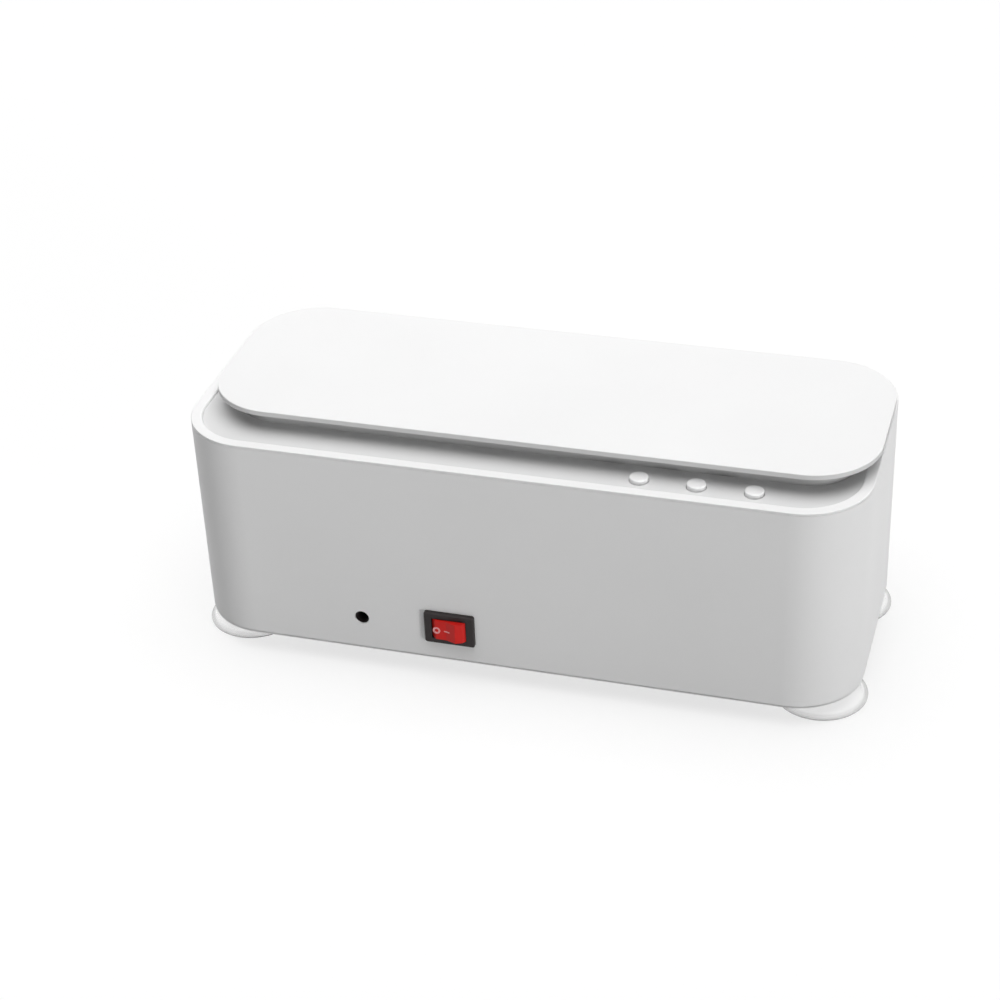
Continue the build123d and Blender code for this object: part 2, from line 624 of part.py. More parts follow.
with BuildPart() as lid_seal:
    with BuildSketch(Plane.XY.offset(DECK_TOP - SEAL_DROP)):
        lid_outline(BASIN_INSIDE + SEAL_GAP)
        lid_outline(GROOVE_INSIDE, mode=Mode.SUBTRACT)
    extrude(amount=-SEAL_HEIGHT)
finish(lid_seal, "lid_seal")


# ------------------------------------------------------------------ push buttons
for button_point, button_name in zip(BUTTON_POINTS, BUTTON_NAMES):
    with BuildPart() as button:
        with BuildSketch(Plane.XY.offset(COLLAR_TOP)):
            with Locations(button_point):
                Circle(BUTTON_RADIUS)
        extrude(amount=DECK_TOP + BUTTON_PROUD - COLLAR_TOP)
        fillet(button.faces().sort_by(Axis.Z)[-1].edges(), BUTTON_ROUND)
        with BuildSketch(Plane.XY.offset(COLLAR_TOP)):
            with Locations(button_point):
                Circle(COLLAR_RADIUS)
        extrude(amount=-COLLAR_THICKNESS)
        with BuildSketch(Plane.XY.offset(STEM_FOOT)):
            with Locations(button_point):
                Circle(STEM_RADIUS)
        extrude(amount=STEM_LENGTH)
    finish(button, f"button_{button_name}")
    with BuildPart() as plunger:
        with BuildSketch(Plane.XY.offset(STEM_FOOT)):
            with Locations(button_point):
                Circle(PLUNGER_RADIUS)
        extrude(amount=-PLUNGER_PROUD - PLUNGER_DEPTH)
        chamfer(plunger.faces().sort_by(Axis.Z)[-1].edges(), PLUNGER_CHAMFER)
    finish(plunger, f"plunger_{button_name}")

with BuildPart() as tact_switches:
    with BuildSketch(Plane.XY.offset(BUTTON_BOARD_TOP)):
        with Locations(*BUTTON_POINTS):
            Rectangle(TACT_SIDE, TACT_SIDE)
    extrude(amount=TACT_HEIGHT)
    chamfer(tact_switches.edges().filter_by(Axis.Z), TACT_CHAMFER)
    with BuildSketch(Plane.XY.offset(TACT_TOP)):
        with Locations(*BUTTON_POINTS):
            Circle(PLUNGER_RADIUS + BUTTON_GAP)
    extrude(amount=-TACT_WELL, mode=Mode.SUBTRACT)
finish(tact_switches, "tact_switches")

with BuildPart() as button_board:
    with BuildSketch(Plane.XY.offset(BUTTON_BOARD_TOP)):
        with Locations((BUTTON_MIDDLE_X, BUTTON_BOARD_Y)):
            Rectangle(BUTTON_BOARD_LENGTH, BUTTON_BOARD_DEPTH)
        with Locations(*POST_POINTS):
            Circle(SMALL_SHANK_RADIUS + SCREW_GAP, mode=Mode.SUBTRACT)
    extrude(amount=-BOARD_THICKNESS)
finish(button_board, "button_board")

with BuildPart() as button_board_screws:
    with Locations(*[(x, y, BUTTON_BOARD_TOP - BOARD_THICKNESS) for x, y in POST_POINTS]):
        add(small_screw)
finish(button_board_screws, "button_board_screws")


# ------------------------------------------------------------------ rocker switch
with BuildPart() as switch_bezel:
    with BuildSketch(Plane.XZ.offset(-FRONT)):
        with Locations((SWITCH_X, SWITCH_Z)):
            RectangleRounded(BEZEL_WIDTH, BEZEL_HEIGHT, BEZEL_CORNER)
    extrude(amount=BEZEL_THICKNESS)
    chamfer(switch_bezel.faces().sort_by(Axis.Y)[0].edges(), BEZEL_CHAMFER)
    with BuildSketch(Plane.XZ.offset(-FRONT)):
        with Locations((SWITCH_X, SWITCH_Z)):
            Rectangle(SWITCH_BODY_WIDTH, SWITCH_BODY_HEIGHT)
    extrude(amount=-SWITCH_BODY_DEPTH)
    # snap tabs behind the wall, one at each end
    for side in (-1, 1):
        tab_root = SWITCH_X + side * SWITCH_BODY_WIDTH / 2
        tab_front = FRONT_INSIDE + FIT
        with BuildSketch(Plane.XY.offset(SWITCH_Z - TAB_HEIGHT / 2)):
            with BuildLine():
                Polyline(
                    (tab_root, tab_front),
                    (tab_root + side * TAB_PROUD, tab_front),
                    (tab_root, tab_front + TAB_LENGTH),
                    close=True,
                )
            make_face()
        extrude(amount=TAB_HEIGHT)
    # open chamber for the rocker: narrow at the face, round behind it
    chamber_foot = SWITCH_Z - ROCKER_HEIGHT / 2 - ROCKER_GAP
    with BuildSketch(Plane.XZ.offset(-FRONT + BEZEL_THICKNESS)):
        with Locations((SWITCH_X, SWITCH_Z)):
            Rectangle(ROCKER_WIDTH + 2 * ROCKER_GAP, ROCKER_HEIGHT + 2 * ROCKER_GAP)
    extrude(amount=-BEZEL_THICKNESS - CHAMBER_DEPTH, mode=Mode.SUBTRACT)
    with BuildSketch(Plane.XY.offset(chamber_foot)):
        with Locations((SWITCH_X, PIVOT_Y)):
            Circle(ROCKER_REACH + ROCKER_GAP)
        with Locations((SWITCH_X, PIVOT_Y - BEZEL_FACE)):
            Rectangle(2 * BEZEL_WIDTH, BEZEL_WIDTH, align=(Align.CENTER, Align.MAX), mode=Mode.SUBTRACT)
    extrude(amount=ROCKER_HEIGHT + 2 * ROCKER_GAP, mode=Mode.SUBTRACT)
    # pivot holes above and below the chamber
    with BuildSketch(Plane.XY.offset(chamber_foot - PIVOT_LENGTH)):
        with Locations((SWITCH_X, PIVOT_Y)):
            Circle(PIVOT_RADIUS + PIVOT_GAP)
    extrude(amount=ROCKER_HEIGHT + 2 * (ROCKER_GAP + PIVOT_LENGTH), mode=Mode.SUBTRACT)
finish(switch_bezel, "switch_bezel")

# the rocker is drawn in its middle position about the pivot, then turned to off
with BuildPart() as switch_rocker:
    tilted = Plane(origin=(SWITCH_X, PIVOT_Y, SWITCH_Z), z_dir=(0, 0, 1)).rotated((0, 0, -ROCKER_TILT))
    face_level = -(PIVOT_DEPTH + ROCKER_FACE)
    crest_level = face_level - ROCKER_CREST * tan(radians(ROCKER_TILT))
    belly_reach = sqrt(ROCKER_REACH**2 - ROCKER_BELLY**2)
    with BuildSketch(tilted.offset(-ROCKER_HEIGHT / 2)):
        with BuildLine():
            Polyline(
                (-ROCKER_CREST, crest_level),
                (0, face_level),
                (ROCKER_CREST, crest_level),
            )
            for side in (-1, 1):
                ThreePointArc(
                    (side * belly_reach, ROCKER_BELLY),
                    (side * ROCKER_REACH, 0),
                    (side * ROCKER_WIDTH / 2, -BEZEL_FACE),
                )
                Line((side * ROCKER_WIDTH / 2, -BEZEL_FACE), (side * ROCKER_CREST, crest_level))
            Line((-belly_reach, ROCKER_BELLY), (belly_reach, ROCKER_BELLY))
        make_face()
    extrude(amount=ROCKER_HEIGHT)
    with BuildSketch(tilted.offset(-ROCKER_HEIGHT / 2 - PIVOT_LENGTH)):
        Circle(PIVOT_RADIUS)
    extrude(amount=ROCKER_HEIGHT + 2 * PIVOT_LENGTH)
finish(switch_rocker, "switch_rocker")

with BuildPart() as switch_terminals:
    with BuildSketch(Plane.XZ.offset(-FRONT - SWITCH_BODY_DEPTH)):
        with Locations((SWITCH_X, SWITCH_Z)):
            with GridLocations(BLADE_SPACING, 0, 2, 1):
                Rectangle(BLADE_THICKNESS, BLADE_WIDTH)
    extrude(amount=-BLADE_LENGTH)
    with BuildSketch(Plane.YZ.offset(SWITCH_X)):
        with Locations((FRONT + SWITCH_BODY_DEPTH + BLADE_HOLE_REACH, SWITCH_Z)):
            SlotOverall(BLADE_HOLE_LENGTH, BLADE_HOLE_WIDTH)
    extrude(amount=BLADE_SPACING, both=True, mode=Mode.SUBTRACT)
finish(switch_terminals, "switch_terminals")


# ------------------------------------------------------------------ DC inlet
with BuildPart() as jack_body:
    with BuildSketch(Plane.XZ.offset(-FRONT_INSIDE)):
        with Locations((JACK_X, JACK_Z)):
            Rectangle(JACK_WIDTH, JACK_BODY_HEIGHT)
    extrude(amount=-JACK_LENGTH)
    chamfer(jack_body.edges().filter_by(Axis.Y).group_by(Axis.Z)[-1], JACK_CHAMFER)
    # the round nose in the wall's hole, and the bore through both
    with BuildSketch(Plane.XZ.offset(-FRONT - JACK_NOSE_SHORT)):
        with Locations((JACK_X, JACK_Z)):
            Circle(INLET_RADIUS - JACK_NOSE_GAP)
    extrude(amount=JACK_NOSE_SHORT - WALL)
    with BuildSketch(Plane.XZ.offset(-FRONT - JACK_NOSE_SHORT)):
        with Locations((JACK_X, JACK_Z)):
            Circle(JACK_BORE_RADIUS)
    extrude(amount=JACK_NOSE_SHORT - WALL - JACK_BORE_DEPTH, mode=Mode.SUBTRACT)
    chamfer(jack_body.edges().filter_by(GeomType.CIRCLE).sort_by(Axis.Y)[0], JACK_MOUTH_CHAMFER)
finish(jack_body, "jack_body")

with BuildPart() as jack_pin:
    with BuildSketch(Plane.XZ.offset(-FRONT_INSIDE - JACK_BORE_DEPTH)):
        with Locations((JACK_X, JACK_Z)):
            Circle(JACK_PIN_RADIUS)
    extrude(amount=JACK_BORE_DEPTH - JACK_PIN_SHORT)
    fillet(jack_pin.faces().sort_by(Axis.Y)[0].edges(), JACK_PIN_ROUND)
finish(jack_pin, "jack_pin")

with BuildPart() as jack_terminals:
    with BuildSketch(Plane.XY.offset(BOARD_TOP)):
        with Locations((JACK_X, FRONT_INSIDE + JACK_LENGTH + JACK_LUG_LENGTH / 2)):
            Rectangle(JACK_LUG_WIDTH, JACK_LUG_LENGTH)
        with Locations((JACK_X, FRONT_INSIDE + JACK_SIDE_LUG_REACH)):
            with GridLocations(JACK_WIDTH + JACK_LUG_WIDTH, 0, 2, 1):
                Rectangle(JACK_LUG_WIDTH, JACK_LUG_LENGTH)
    extrude(amount=JACK_LUG_THICKNESS)
finish(jack_terminals, "jack_terminals")


# ------------------------------------------------------------------ driver board
with BuildPart() as driver_board:
    with BuildSketch(Plane.XY.offset(BOARD_UNDER)):
        with Locations((BOARD_X, 0)):
            Rectangle(BOARD_LENGTH, BOARD_DEPTH)
        # tongue under the DC inlet
        tongue_front = FRONT + PLATE_INSET + TONGUE_GAP
        with Locations((JACK_X, (tongue_front - BOARD_BACK) / 2)):
            Rectangle(TONGUE_WIDTH, -BOARD_BACK - tongue_front)
        with Locations(*BOARD_SCREW_POINTS):
            Circle(SMALL_SHANK_RADIUS + SCREW_GAP, mode=Mode.SUBTRACT)
    extrude(amount=BOARD_THICKNESS)
finish(driver_board, "driver_board")

# electrolytic capacitor: a can with a crimp above its foot and a cross scored in its top
with BuildPart() as electrolytic_capacitor:
    with BuildSketch(Plane.XZ):
        with BuildLine():
            Polyline(
                (0, 0),
                (0, CAPACITOR_HEIGHT),
                (CAPACITOR_RADIUS - CAPACITOR_CRIMP, CAPACITOR_HEIGHT),
                (CAPACITOR_RADIUS, CAPACITOR_HEIGHT - CAPACITOR_CRIMP),
                (CAPACITOR_RADIUS, CRIMP_RISE + 2 * CAPACITOR_CRIMP),
                (CAPACITOR_RADIUS - CAPACITOR_CRIMP, CRIMP_RISE + CAPACITOR_CRIMP),
                (CAPACITOR_RADIUS, CRIMP_RISE),
                (CAPACITOR_RADIUS, 0),
                close=True,
            )
        make_face()
    revolve(axis=Axis.Z)
    with BuildSketch(Plane.XY.offset(CAPACITOR_HEIGHT)):
        Rectangle(CAPACITOR_RADIUS, CAPACITOR_CRIMP)
        Rectangle(CAPACITOR_CRIMP, CAPACITOR_RADIUS)
    extrude(amount=-CAPACITOR_CRIMP / 2, mode=Mode.SUBTRACT)

with BuildPart() as electrolytic_capacitors:
    with Locations((TALL_X, CAPACITOR_Y, BOARD_TOP)):
        with GridLocations(CAPACITOR_PITCH, 0, 2, 1):
            add(electrolytic_capacitor.part)
finish(electrolytic_capacitors, "electrolytic_capacitors")

# transformer: an E core pair round a wound coil, on a moulded base
with BuildPart() as transformer_base:
    with BuildSketch(Plane.XY.offset(BOARD_TOP)):
        with Locations((TALL_X, TRANSFORMER_Y)):
            Rectangle(CORE_LENGTH, CORE_DEPTH + 2 * COIL_PROUD)
    extrude(amount=CORE_BASE)
    chamfer(transformer_base.edges().filter_by(Axis.Z), BASE_CHAMFER)
finish(transformer_base, "transformer_base")

core_foot = BOARD_TOP + CORE_BASE
window_width = (CORE_LENGTH - 2 * CORE_LEG - CORE_MIDDLE_LEG) / 2
window_height = CORE_HEIGHT - 2 * CORE_LEG
with BuildPart() as transformer_core:
    with BuildSketch(Plane.XZ.offset(CORE_DEPTH / 2 - TRANSFORMER_Y)):
        with Locations((TALL_X, core_foot + CORE_HEIGHT / 2)):
            Rectangle(CORE_LENGTH, CORE_HEIGHT)
            with GridLocations(window_width + CORE_MIDDLE_LEG, 0, 2, 1):
                Rectangle(window_width, window_height, mode=Mode.SUBTRACT)
    extrude(amount=-CORE_DEPTH)
finish(transformer_core, "transformer_core")

with BuildPart() as transformer_coil:
    coil_length = CORE_LENGTH - 2 * (CORE_LEG + COIL_GAP)
    with BuildSketch(Plane.XY.offset(core_foot + CORE_LEG + COIL_GAP)):
        with Locations((TALL_X, TRANSFORMER_Y)):
            RectangleRounded(coil_length, CORE_DEPTH + 2 * COIL_PROUD, COIL_CORNER)
            Rectangle(CORE_MIDDLE_LEG + 2 * COIL_GAP, CORE_DEPTH + 2 * COIL_GAP, mode=Mode.SUBTRACT)
    extrude(amount=window_height - 2 * COIL_GAP)
finish(transformer_coil, "transformer_coil")

# power inductor: a drum with a wound waist
with BuildPart() as drum_inductor:
    with BuildSketch(Plane.XZ):
        with BuildLine():
            Polyline(
                (0, 0),
                (0, INDUCTOR_HEIGHT),
                (INDUCTOR_RADIUS, INDUCTOR_HEIGHT),
                (INDUCTOR_RADIUS, INDUCTOR_HEIGHT - INDUCTOR_FLANGE),
                (INDUCTOR_RADIUS - INDUCTOR_WAIST, INDUCTOR_HEIGHT - INDUCTOR_FLANGE),
                (INDUCTOR_RADIUS - INDUCTOR_WAIST, INDUCTOR_FLANGE),
                (INDUCTOR_RADIUS, INDUCTOR_FLANGE),
                (INDUCTOR_RADIUS, 0),
                close=True,
            )
        make_face()
    revolve(axis=Axis.Z)

with BuildPart() as power_inductor:
    with Locations((LOW_X, INDUCTOR_Y, BOARD_TOP)):
        add(drum_inductor.part)
finish(power_inductor, "power_inductor")

with BuildPart() as film_capacitors:
    with Locations((LOW_X, FILM_Y, BOARD_TOP)):
        with Locations((0, 0), (0, FILM_PITCH)):
            Box(FILM_LENGTH, FILM_DEPTH, FILM_HEIGHT, align=(Align.CENTER, Align.CENTER, Align.MIN))
    fillet(film_capacitors.edges().filter_by(Axis.Z), FILM_CORNER)
finish(film_capacitors, "film_capacitors")

with BuildPart() as control_chip:
    with BuildSketch(Plane.XY.offset(BOARD_TOP + CHIP_LIFT)):
        with Locations((LOW_X, CHIP_Y)):
            Rectangle(CHIP_LENGTH, CHIP_DEPTH)
        with Locations((LOW_X - CHIP_LENGTH / 2, CHIP_Y)):
            Circle(CHIP_NOTCH, mode=Mode.SUBTRACT)
    extrude(amount=CHIP_HEIGHT)
    with BuildSketch(Plane.XY.offset(BOARD_TOP)):
        with Locations((LOW_X, CHIP_Y)):
            with GridLocations(LEG_PITCH, CHIP_DEPTH + LEG_WIDTH, CHIP_LEGS, 2):
                Rectangle(LEG_WIDTH, LEG_WIDTH)
    extrude(amount=CHIP_LIFT + LEG_REACH)
finish(control_chip, "control_chip")

# plug sockets, each with its two pins standing in an open well
with BuildPart() as board_connectors:
    with BuildSketch(Plane.XY.offset(BOARD_TOP)):
        with Locations((CONNECTOR_X, 0)):
            with GridLocations(0, CONNECTOR_PITCH, 1, CONNECTOR_COUNT):
                Rectangle(CONNECTOR_DEPTH, CONNECTOR_LENGTH)
    extrude(amount=CONNECTOR_HEIGHT)
    with BuildSketch(Plane.XY.offset(BOARD_TOP + CONNECTOR_HEIGHT)):
        with Locations((CONNECTOR_X, 0)):
            with GridLocations(0, CONNECTOR_PITCH, 1, CONNECTOR_COUNT):
                Rectangle(CONNECTOR_DEPTH - 2 * CONNECTOR_WALL, CONNECTOR_LENGTH - 2 * CONNECTOR_WALL)
                with GridLocations(0, LEG_PITCH, 1, 2):
                    Rectangle(LEG_WIDTH, LEG_WIDTH, mode=Mode.SUBTRACT)
    extrude(amount=-CONNECTOR_WELL, mode=Mode.SUBTRACT)
finish(board_connectors, "board_connectors")

# power transistor standing against the flat side of its heat sink
with BuildPart() as heat_sink:
    with BuildSketch(Plane.XY.offset(BOARD_TOP)):
        with Locations((TALL_X, SINK_FACE + SINK_BASE / 2)):
            Rectangle(SINK_WIDTH, SINK_BASE)
        with Locations((TALL_X, SINK_FACE + SINK_BASE + SINK_FIN_DEPTH / 2)):
            with GridLocations((SINK_WIDTH - SINK_FIN) / (SINK_FINS - 1), 0, SINK_FINS, 1):
                Rectangle(SINK_FIN, SINK_FIN_DEPTH)
    extrude(amount=SINK_HEIGHT)
finish(heat_sink, "heat_sink")

with BuildPart() as power_transistor:
    transistor_foot = BOARD_TOP + TRANSISTOR_LIFT
    with BuildSketch(Plane.XZ.offset(-SINK_FACE)):
        with Locations((TALL_X, transistor_foot + TAB_PLATE_HEIGHT / 2)):
            Rectangle(TRANSISTOR_WIDTH, TAB_PLATE_HEIGHT)
    extrude(amount=TAB_PLATE)
    with BuildSketch(Plane.XZ.offset(-SINK_FACE)):
        with Locations((TALL_X, transistor_foot + TRANSISTOR_HEIGHT / 2)):
            Rectangle(TRANSISTOR_WIDTH, TRANSISTOR_HEIGHT)
    extrude(amount=TRANSISTOR_DEPTH)
    with BuildSketch(Plane.XY.offset(BOARD_TOP)):
        with Locations((TALL_X, SINK_FACE - TRANSISTOR_DEPTH / 2)):
            with GridLocations(LEG_PITCH, 0, TRANSISTOR_LEGS, 1):
                Rectangle(LEG_WIDTH, LEG_WIDTH)
    extrude(amount=TRANSISTOR_LIFT)
finish(power_transistor, "power_transistor")

with BuildPart() as driver_board_screws:
    with Locations(*[(x, y, BOARD_TOP) for x, y in BOARD_SCREW_POINTS]):
        with Locations(Rotation(180, 0, 0)):
            add(small_screw)
finish(driver_board_screws, "driver_board_screws")
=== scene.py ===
import json
import math

import bmesh
import bpy
from mathutils import Matrix, Vector


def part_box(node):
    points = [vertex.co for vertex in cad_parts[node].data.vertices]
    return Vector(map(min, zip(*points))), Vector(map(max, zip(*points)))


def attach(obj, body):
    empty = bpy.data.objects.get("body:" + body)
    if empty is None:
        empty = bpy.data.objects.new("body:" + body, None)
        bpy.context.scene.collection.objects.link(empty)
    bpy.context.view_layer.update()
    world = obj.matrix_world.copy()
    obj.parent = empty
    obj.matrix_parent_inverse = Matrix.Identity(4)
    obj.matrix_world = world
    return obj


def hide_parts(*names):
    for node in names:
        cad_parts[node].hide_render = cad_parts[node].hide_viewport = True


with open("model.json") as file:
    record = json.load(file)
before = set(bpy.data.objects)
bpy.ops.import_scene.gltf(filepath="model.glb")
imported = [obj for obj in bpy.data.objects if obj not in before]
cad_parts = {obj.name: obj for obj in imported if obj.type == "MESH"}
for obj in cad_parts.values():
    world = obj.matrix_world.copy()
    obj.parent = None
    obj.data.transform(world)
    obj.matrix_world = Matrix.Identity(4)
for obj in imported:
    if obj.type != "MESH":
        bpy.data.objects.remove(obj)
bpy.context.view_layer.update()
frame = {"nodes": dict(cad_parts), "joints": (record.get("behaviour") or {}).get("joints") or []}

MM = 0.001
NODES = frame["nodes"]
BOX = {name: [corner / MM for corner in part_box(name)] for name in NODES}   # lowest and highest corner, in mm

# ------------------------------------------------------------------ camera
CAMERA_AZIMUTH = math.radians(17.587)
CAMERA_ELEVATION = math.radians(32.716)
CAMERA_ROLL = math.radians(-2.645)
CAMERA_DISTANCE = 652.645 * MM
CAMERA_AIM = Vector((-13.78, 0.0, 35.12)) * MM
CAMERA_LENS = 82.03
SENSOR_WIDTH = 36.0

# ------------------------------------------------------------------ light
SKY_LEVEL = 0.03           # this and the softboxes are shares of a white face's full brightness
OVERHEAD_SOFTBOX = Vector((0.0, 0.0, 0.94))
CORNER_SOFTBOX = Vector((0.60, -0.385, 0.0))
BACK_SOFTBOX = Vector((-0.08, 0.28, 0.0))
OVERHEAD_ANGLE = math.radians(70)
CORNER_ANGLE = math.radians(15)
BACK_ANGLE = math.radians(40)
FLOOR_BOUNCE = 0.42
FLOOR_GLOW = 0.72          # how much of the floor's seen tone is its own, whatever falls on it
FLOOR_HALF = 3.0           # in metres
FLOOR_GAP = 0.02           # between the floor and the cups that stand on it, in mm

# ------------------------------------------------------------------ housing
BODY_CORNER = 19.0
DECK_PAINTED_SHADE = 0.80           # painted shade on the recessed deck, as a share of the rim's tone
UNDERSIDE_PAINTED_SHADE = 0.77      # the same painted shade on the lid's edge and underside
BLASTED_DULLNESS = 0.2     # how much rougher than the polished parts both are
BORDER_FADE = (2.8, 3.0)   # in from the wall: plain before, rougher with painted shade after
RIM_FADE = (0.6, 0.4)      # down from the rim's top: rougher with painted shade below, plain above
LID_FADE = (0.32, 0.18)    # the same, down from the lid's top

# ------------------------------------------------------------------ suction cups
CUP_RADIUS = 13.0
CUP_LIP = 0.42             # radius of the bead round the cup's mouth
CUP_RING = 1.6             # width of the ring that the cup stands on
CUP_HOLLOW = 3.8
CUP_NECK = 4.6
CUP_NECK_RISE = 1.8
NECK_FLARE = 0.25
SKIRT_FOOT = (0.16, 0.02)  # where the skirt meets the bead: in, and down from the bead's top
MOUTH_CHAMFER = (0.12, 0.06)
STUD_RADIUS = 2.6
STUD_TAPER = 0.4
STUD_HEAD = 3.5
STUD_HEAD_EDGE = 0.25
STUD_HEAD_RISE = 1.6
EDGE_ROUND = 0.3
FOOT_DROP = 6.4
COVER_THICKNESS = 2.0
CUP_SEGMENTS = 96
ARC_STEPS = 20
BEAD_FADE = (1.5, 0.9)     # in from the cup's edge: clear inside, greyer at the bead

# ------------------------------------------------------------------ finishes of the inner parts
SPOT_RIM = 0.28            # a dried drop's rim on the tank, as a share of the drops' spacing
SPOT_WIDTH = 0.02
CAN_TOP = 0.5              # how far down the bare top of a capacitor reaches
CAN_RIM = 0.7              # width of the sleeve that is turned in over it
STRIPE_SHARE = 0.72        # of a can's radius, where its stripe begins
DISC_EDGE = 0.9            # width of the bare ceramic round the silver

# ------------------------------------------------------------------ marks on the rocker
MARK_RAISED = 0.04
MARK_SUNK = 0.03
RING_RADIUS = 1.08
RING_BORE = 0.55
DASH_LENGTH = 1.75
DASH_WIDTH = 0.40
RING_OFFSET = -3.35        # from the rocker's pivot, along the wall
DASH_OFFSET = -0.34
MARK_DROP = -0.15
MARK_FACE = -3.545         # the pressed half's face, in front of the pivot
MARK_SEGMENTS = 48
VALLEY_OFFSET = -0.625     # where the rocker's two faces meet
VALLEY_SLOPE = math.tan(math.radians(20))   # how the raised half leaves the pressed half's plane

# ------------------------------------------------------------------ windings
WIRE_SIDES = 10
BEND_STEPS = 9
COIL_WIRE = 0.42
COIL_CORNER = 1.3
CHOKE_WIRE = 0.50
CHOKE_FLANGE = 1.2
CHOKE_RIM = 0.8            # how far the drum's flanges stand out past the wire
CHOKE_EDGE = 0.2
CHOKE_LIP = 0.15
CHOKE_DIMPLE = (1.2, 1.0, 0.5)   # radius at its top and foot, and depth
CHOKE_SEGMENTS = 64
ROUND_SHARE = 0.999        # a loop's corners take up all but this little of its sides

# ------------------------------------------------------------------ solder and the leads that it holds
SOLDER_PAD = 0.95
SOLDER_RISE = 1.1
SOLDER_TOP = 0.4           # the fillet's radius at the lead's end, as a share of the pad
SOLDER_WAIST = 0.55        # below this share of its height the fillet is slimmer than a cone, above it wider
SOLDER_SIDES = 20
SOLDER_STEPS = 7
PIN_PITCH = 2.54
CHIP_LEAD = 0.6
CAN_SPACING = 10.0
CAN_PITCH = 2.5
BASE_PITCH = 4.0
BASE_EDGE = 1.2
CHOKE_PITCH = 5.0
FILM_PITCH = 7.5
FILM_WIDTH = 4.2
CONNECTOR_LENGTH = 7.4
TACT_PITCH = (6.5, 4.5)


def middle(node):
    """The middle of a node's box, in mm."""
    low, high = BOX[node]
    return (low + high) / 2


# ================================================================== shader maths
class Wire:
    """A shader socket that works in expressions: arithmetic on wires adds Math nodes to their tree."""

    def __init__(self, tree, socket=None):
        self.tree = tree
        self.socket = socket

    def node(self, kind, settings=(), sockets=(), out=0):
        """Adds any node: its settings first, then the values or wires of its sockets."""
        made = self.tree.nodes.new(kind)
        for key, value in dict(settings).items():
            setattr(made, key, value)
        for key, value in dict(sockets).items():
            if isinstance(value, Wire):
                self.tree.links.new(value.socket, made.inputs[key])
            else:
                made.inputs[key].default_value = value
        return Wire(self.tree, made.outputs[out] if made.outputs else None)

    def also(self, out):
        """Another output of the same node."""
        return Wire(self.tree, self.socket.node.outputs[out])

    def math(self, operation, *terms):
        return self.node("ShaderNodeMath", {"operation": operation}, enumerate(terms))

    def __add__(self, other):
        return self.math("ADD", self, other)

    def __radd__(self, other):
        return self.math("ADD", other, self)

    def __sub__(self, other):
        return self.math("SUBTRACT", self, other)

    def __rsub__(self, other):
        return self.math("SUBTRACT", other, self)

    def __mul__(self, other):
        return self.math("MULTIPLY", self, other)

    def __rmul__(self, other):
        return self.math("MULTIPLY", other, self)

    def __gt__(self, other):
        return self.math("GREATER_THAN", self, other)

    def __lt__(self, other):
        return self.math("LESS_THAN", self, other)

    def size(self):
        return self.math("ABSOLUTE", self)

    def clamp(self):
        return self.math("MAXIMUM", self.math("MINIMUM", self, 1.0), 0.0)

    def ramp(self, low, high):
        """0 below low, 1 above high, straight between."""
        return ((self - low) * (1.0 / (high - low))).clamp()


def new_material(name):
    """An empty material and a wire into its tree."""
    material = bpy.data.materials.new(name)
    material.use_nodes = True
    material.node_tree.nodes.clear()
    return material, Wire(material.node_tree)


def close_material(tree, surface):
    tree.node("ShaderNodeOutputMaterial", (), {"Surface": surface})


def finished(material, tree, **sockets):
    """Closes a material with one surface; a socket's spaces are written as underscores."""
    named = {key.replace("_", " "): value for key, value in sockets.items()}
    close_material(tree, tree.node("ShaderNodeBsdfPrincipled", (), named))
    return material


def tone(*channels):
    return (*channels, 1.0)


def grey(level):
    return tone(level, level, level)


def shade(colour, factor):
    """A colour made darker or lighter."""
    return tone(*[channel * factor for channel in colour[:3]])


def place(tree):
    """The object's own coordinates in millimetres, as three wires."""
    metres = tree.node("ShaderNodeTexCoord", out="Object")
    scaled = tree.node("ShaderNodeVectorMath", {"operation": "SCALE"}, {0: metres, "Scale": 1 / MM})
    x = tree.node("ShaderNodeSeparateXYZ", (), {0: scaled})
    return x, x.also("Y"), x.also("Z")


def reach(along, across):
    """How far a point is from a middle, from its distances along two axes."""
    return along.math("SQRT", along * along + across * across)


def stretched(tree, sizes_mm, shift=0.0):
    """The object's own coordinates, drawn out so that one unit is as long as given along each axis."""
    metres = tree.node("ShaderNodeTexCoord", out="Object")
    scale = [1.0 / (size * MM) for size in sizes_mm]
    return tree.node("ShaderNodeMapping", (), {"Vector": metres, "Location": (shift,) * 3, "Scale": scale})


def noise(tree, sizes_mm, detail=2.0, shift=0.0):
    """Noise whose features are about as large as given."""
    sizes = sizes_mm if isinstance(sizes_mm, tuple) else (sizes_mm,) * 3
    return tree.node(
        "ShaderNodeTexNoise",
        {"noise_dimensions": "3D"},
        {"Vector": stretched(tree, sizes, shift), "Scale": 1.0, "Detail": detail},
    )


def mixed(tree, factor, first, second):
    """A colour between two others. The Mix node's sockets share their names, so they go by number."""
    return tree.node("ShaderNodeMix", {"data_type": "RGBA"}, {0: factor, 6: first, 7: second}, out=2)


def bump(tree, height, depth_mm, below=None):
    sockets = {"Strength": 1.0, "Distance": depth_mm * MM, "Height": height}
    if below:
        sockets["Normal"] = below
    return tree.node("ShaderNodeBump", (), sockets)


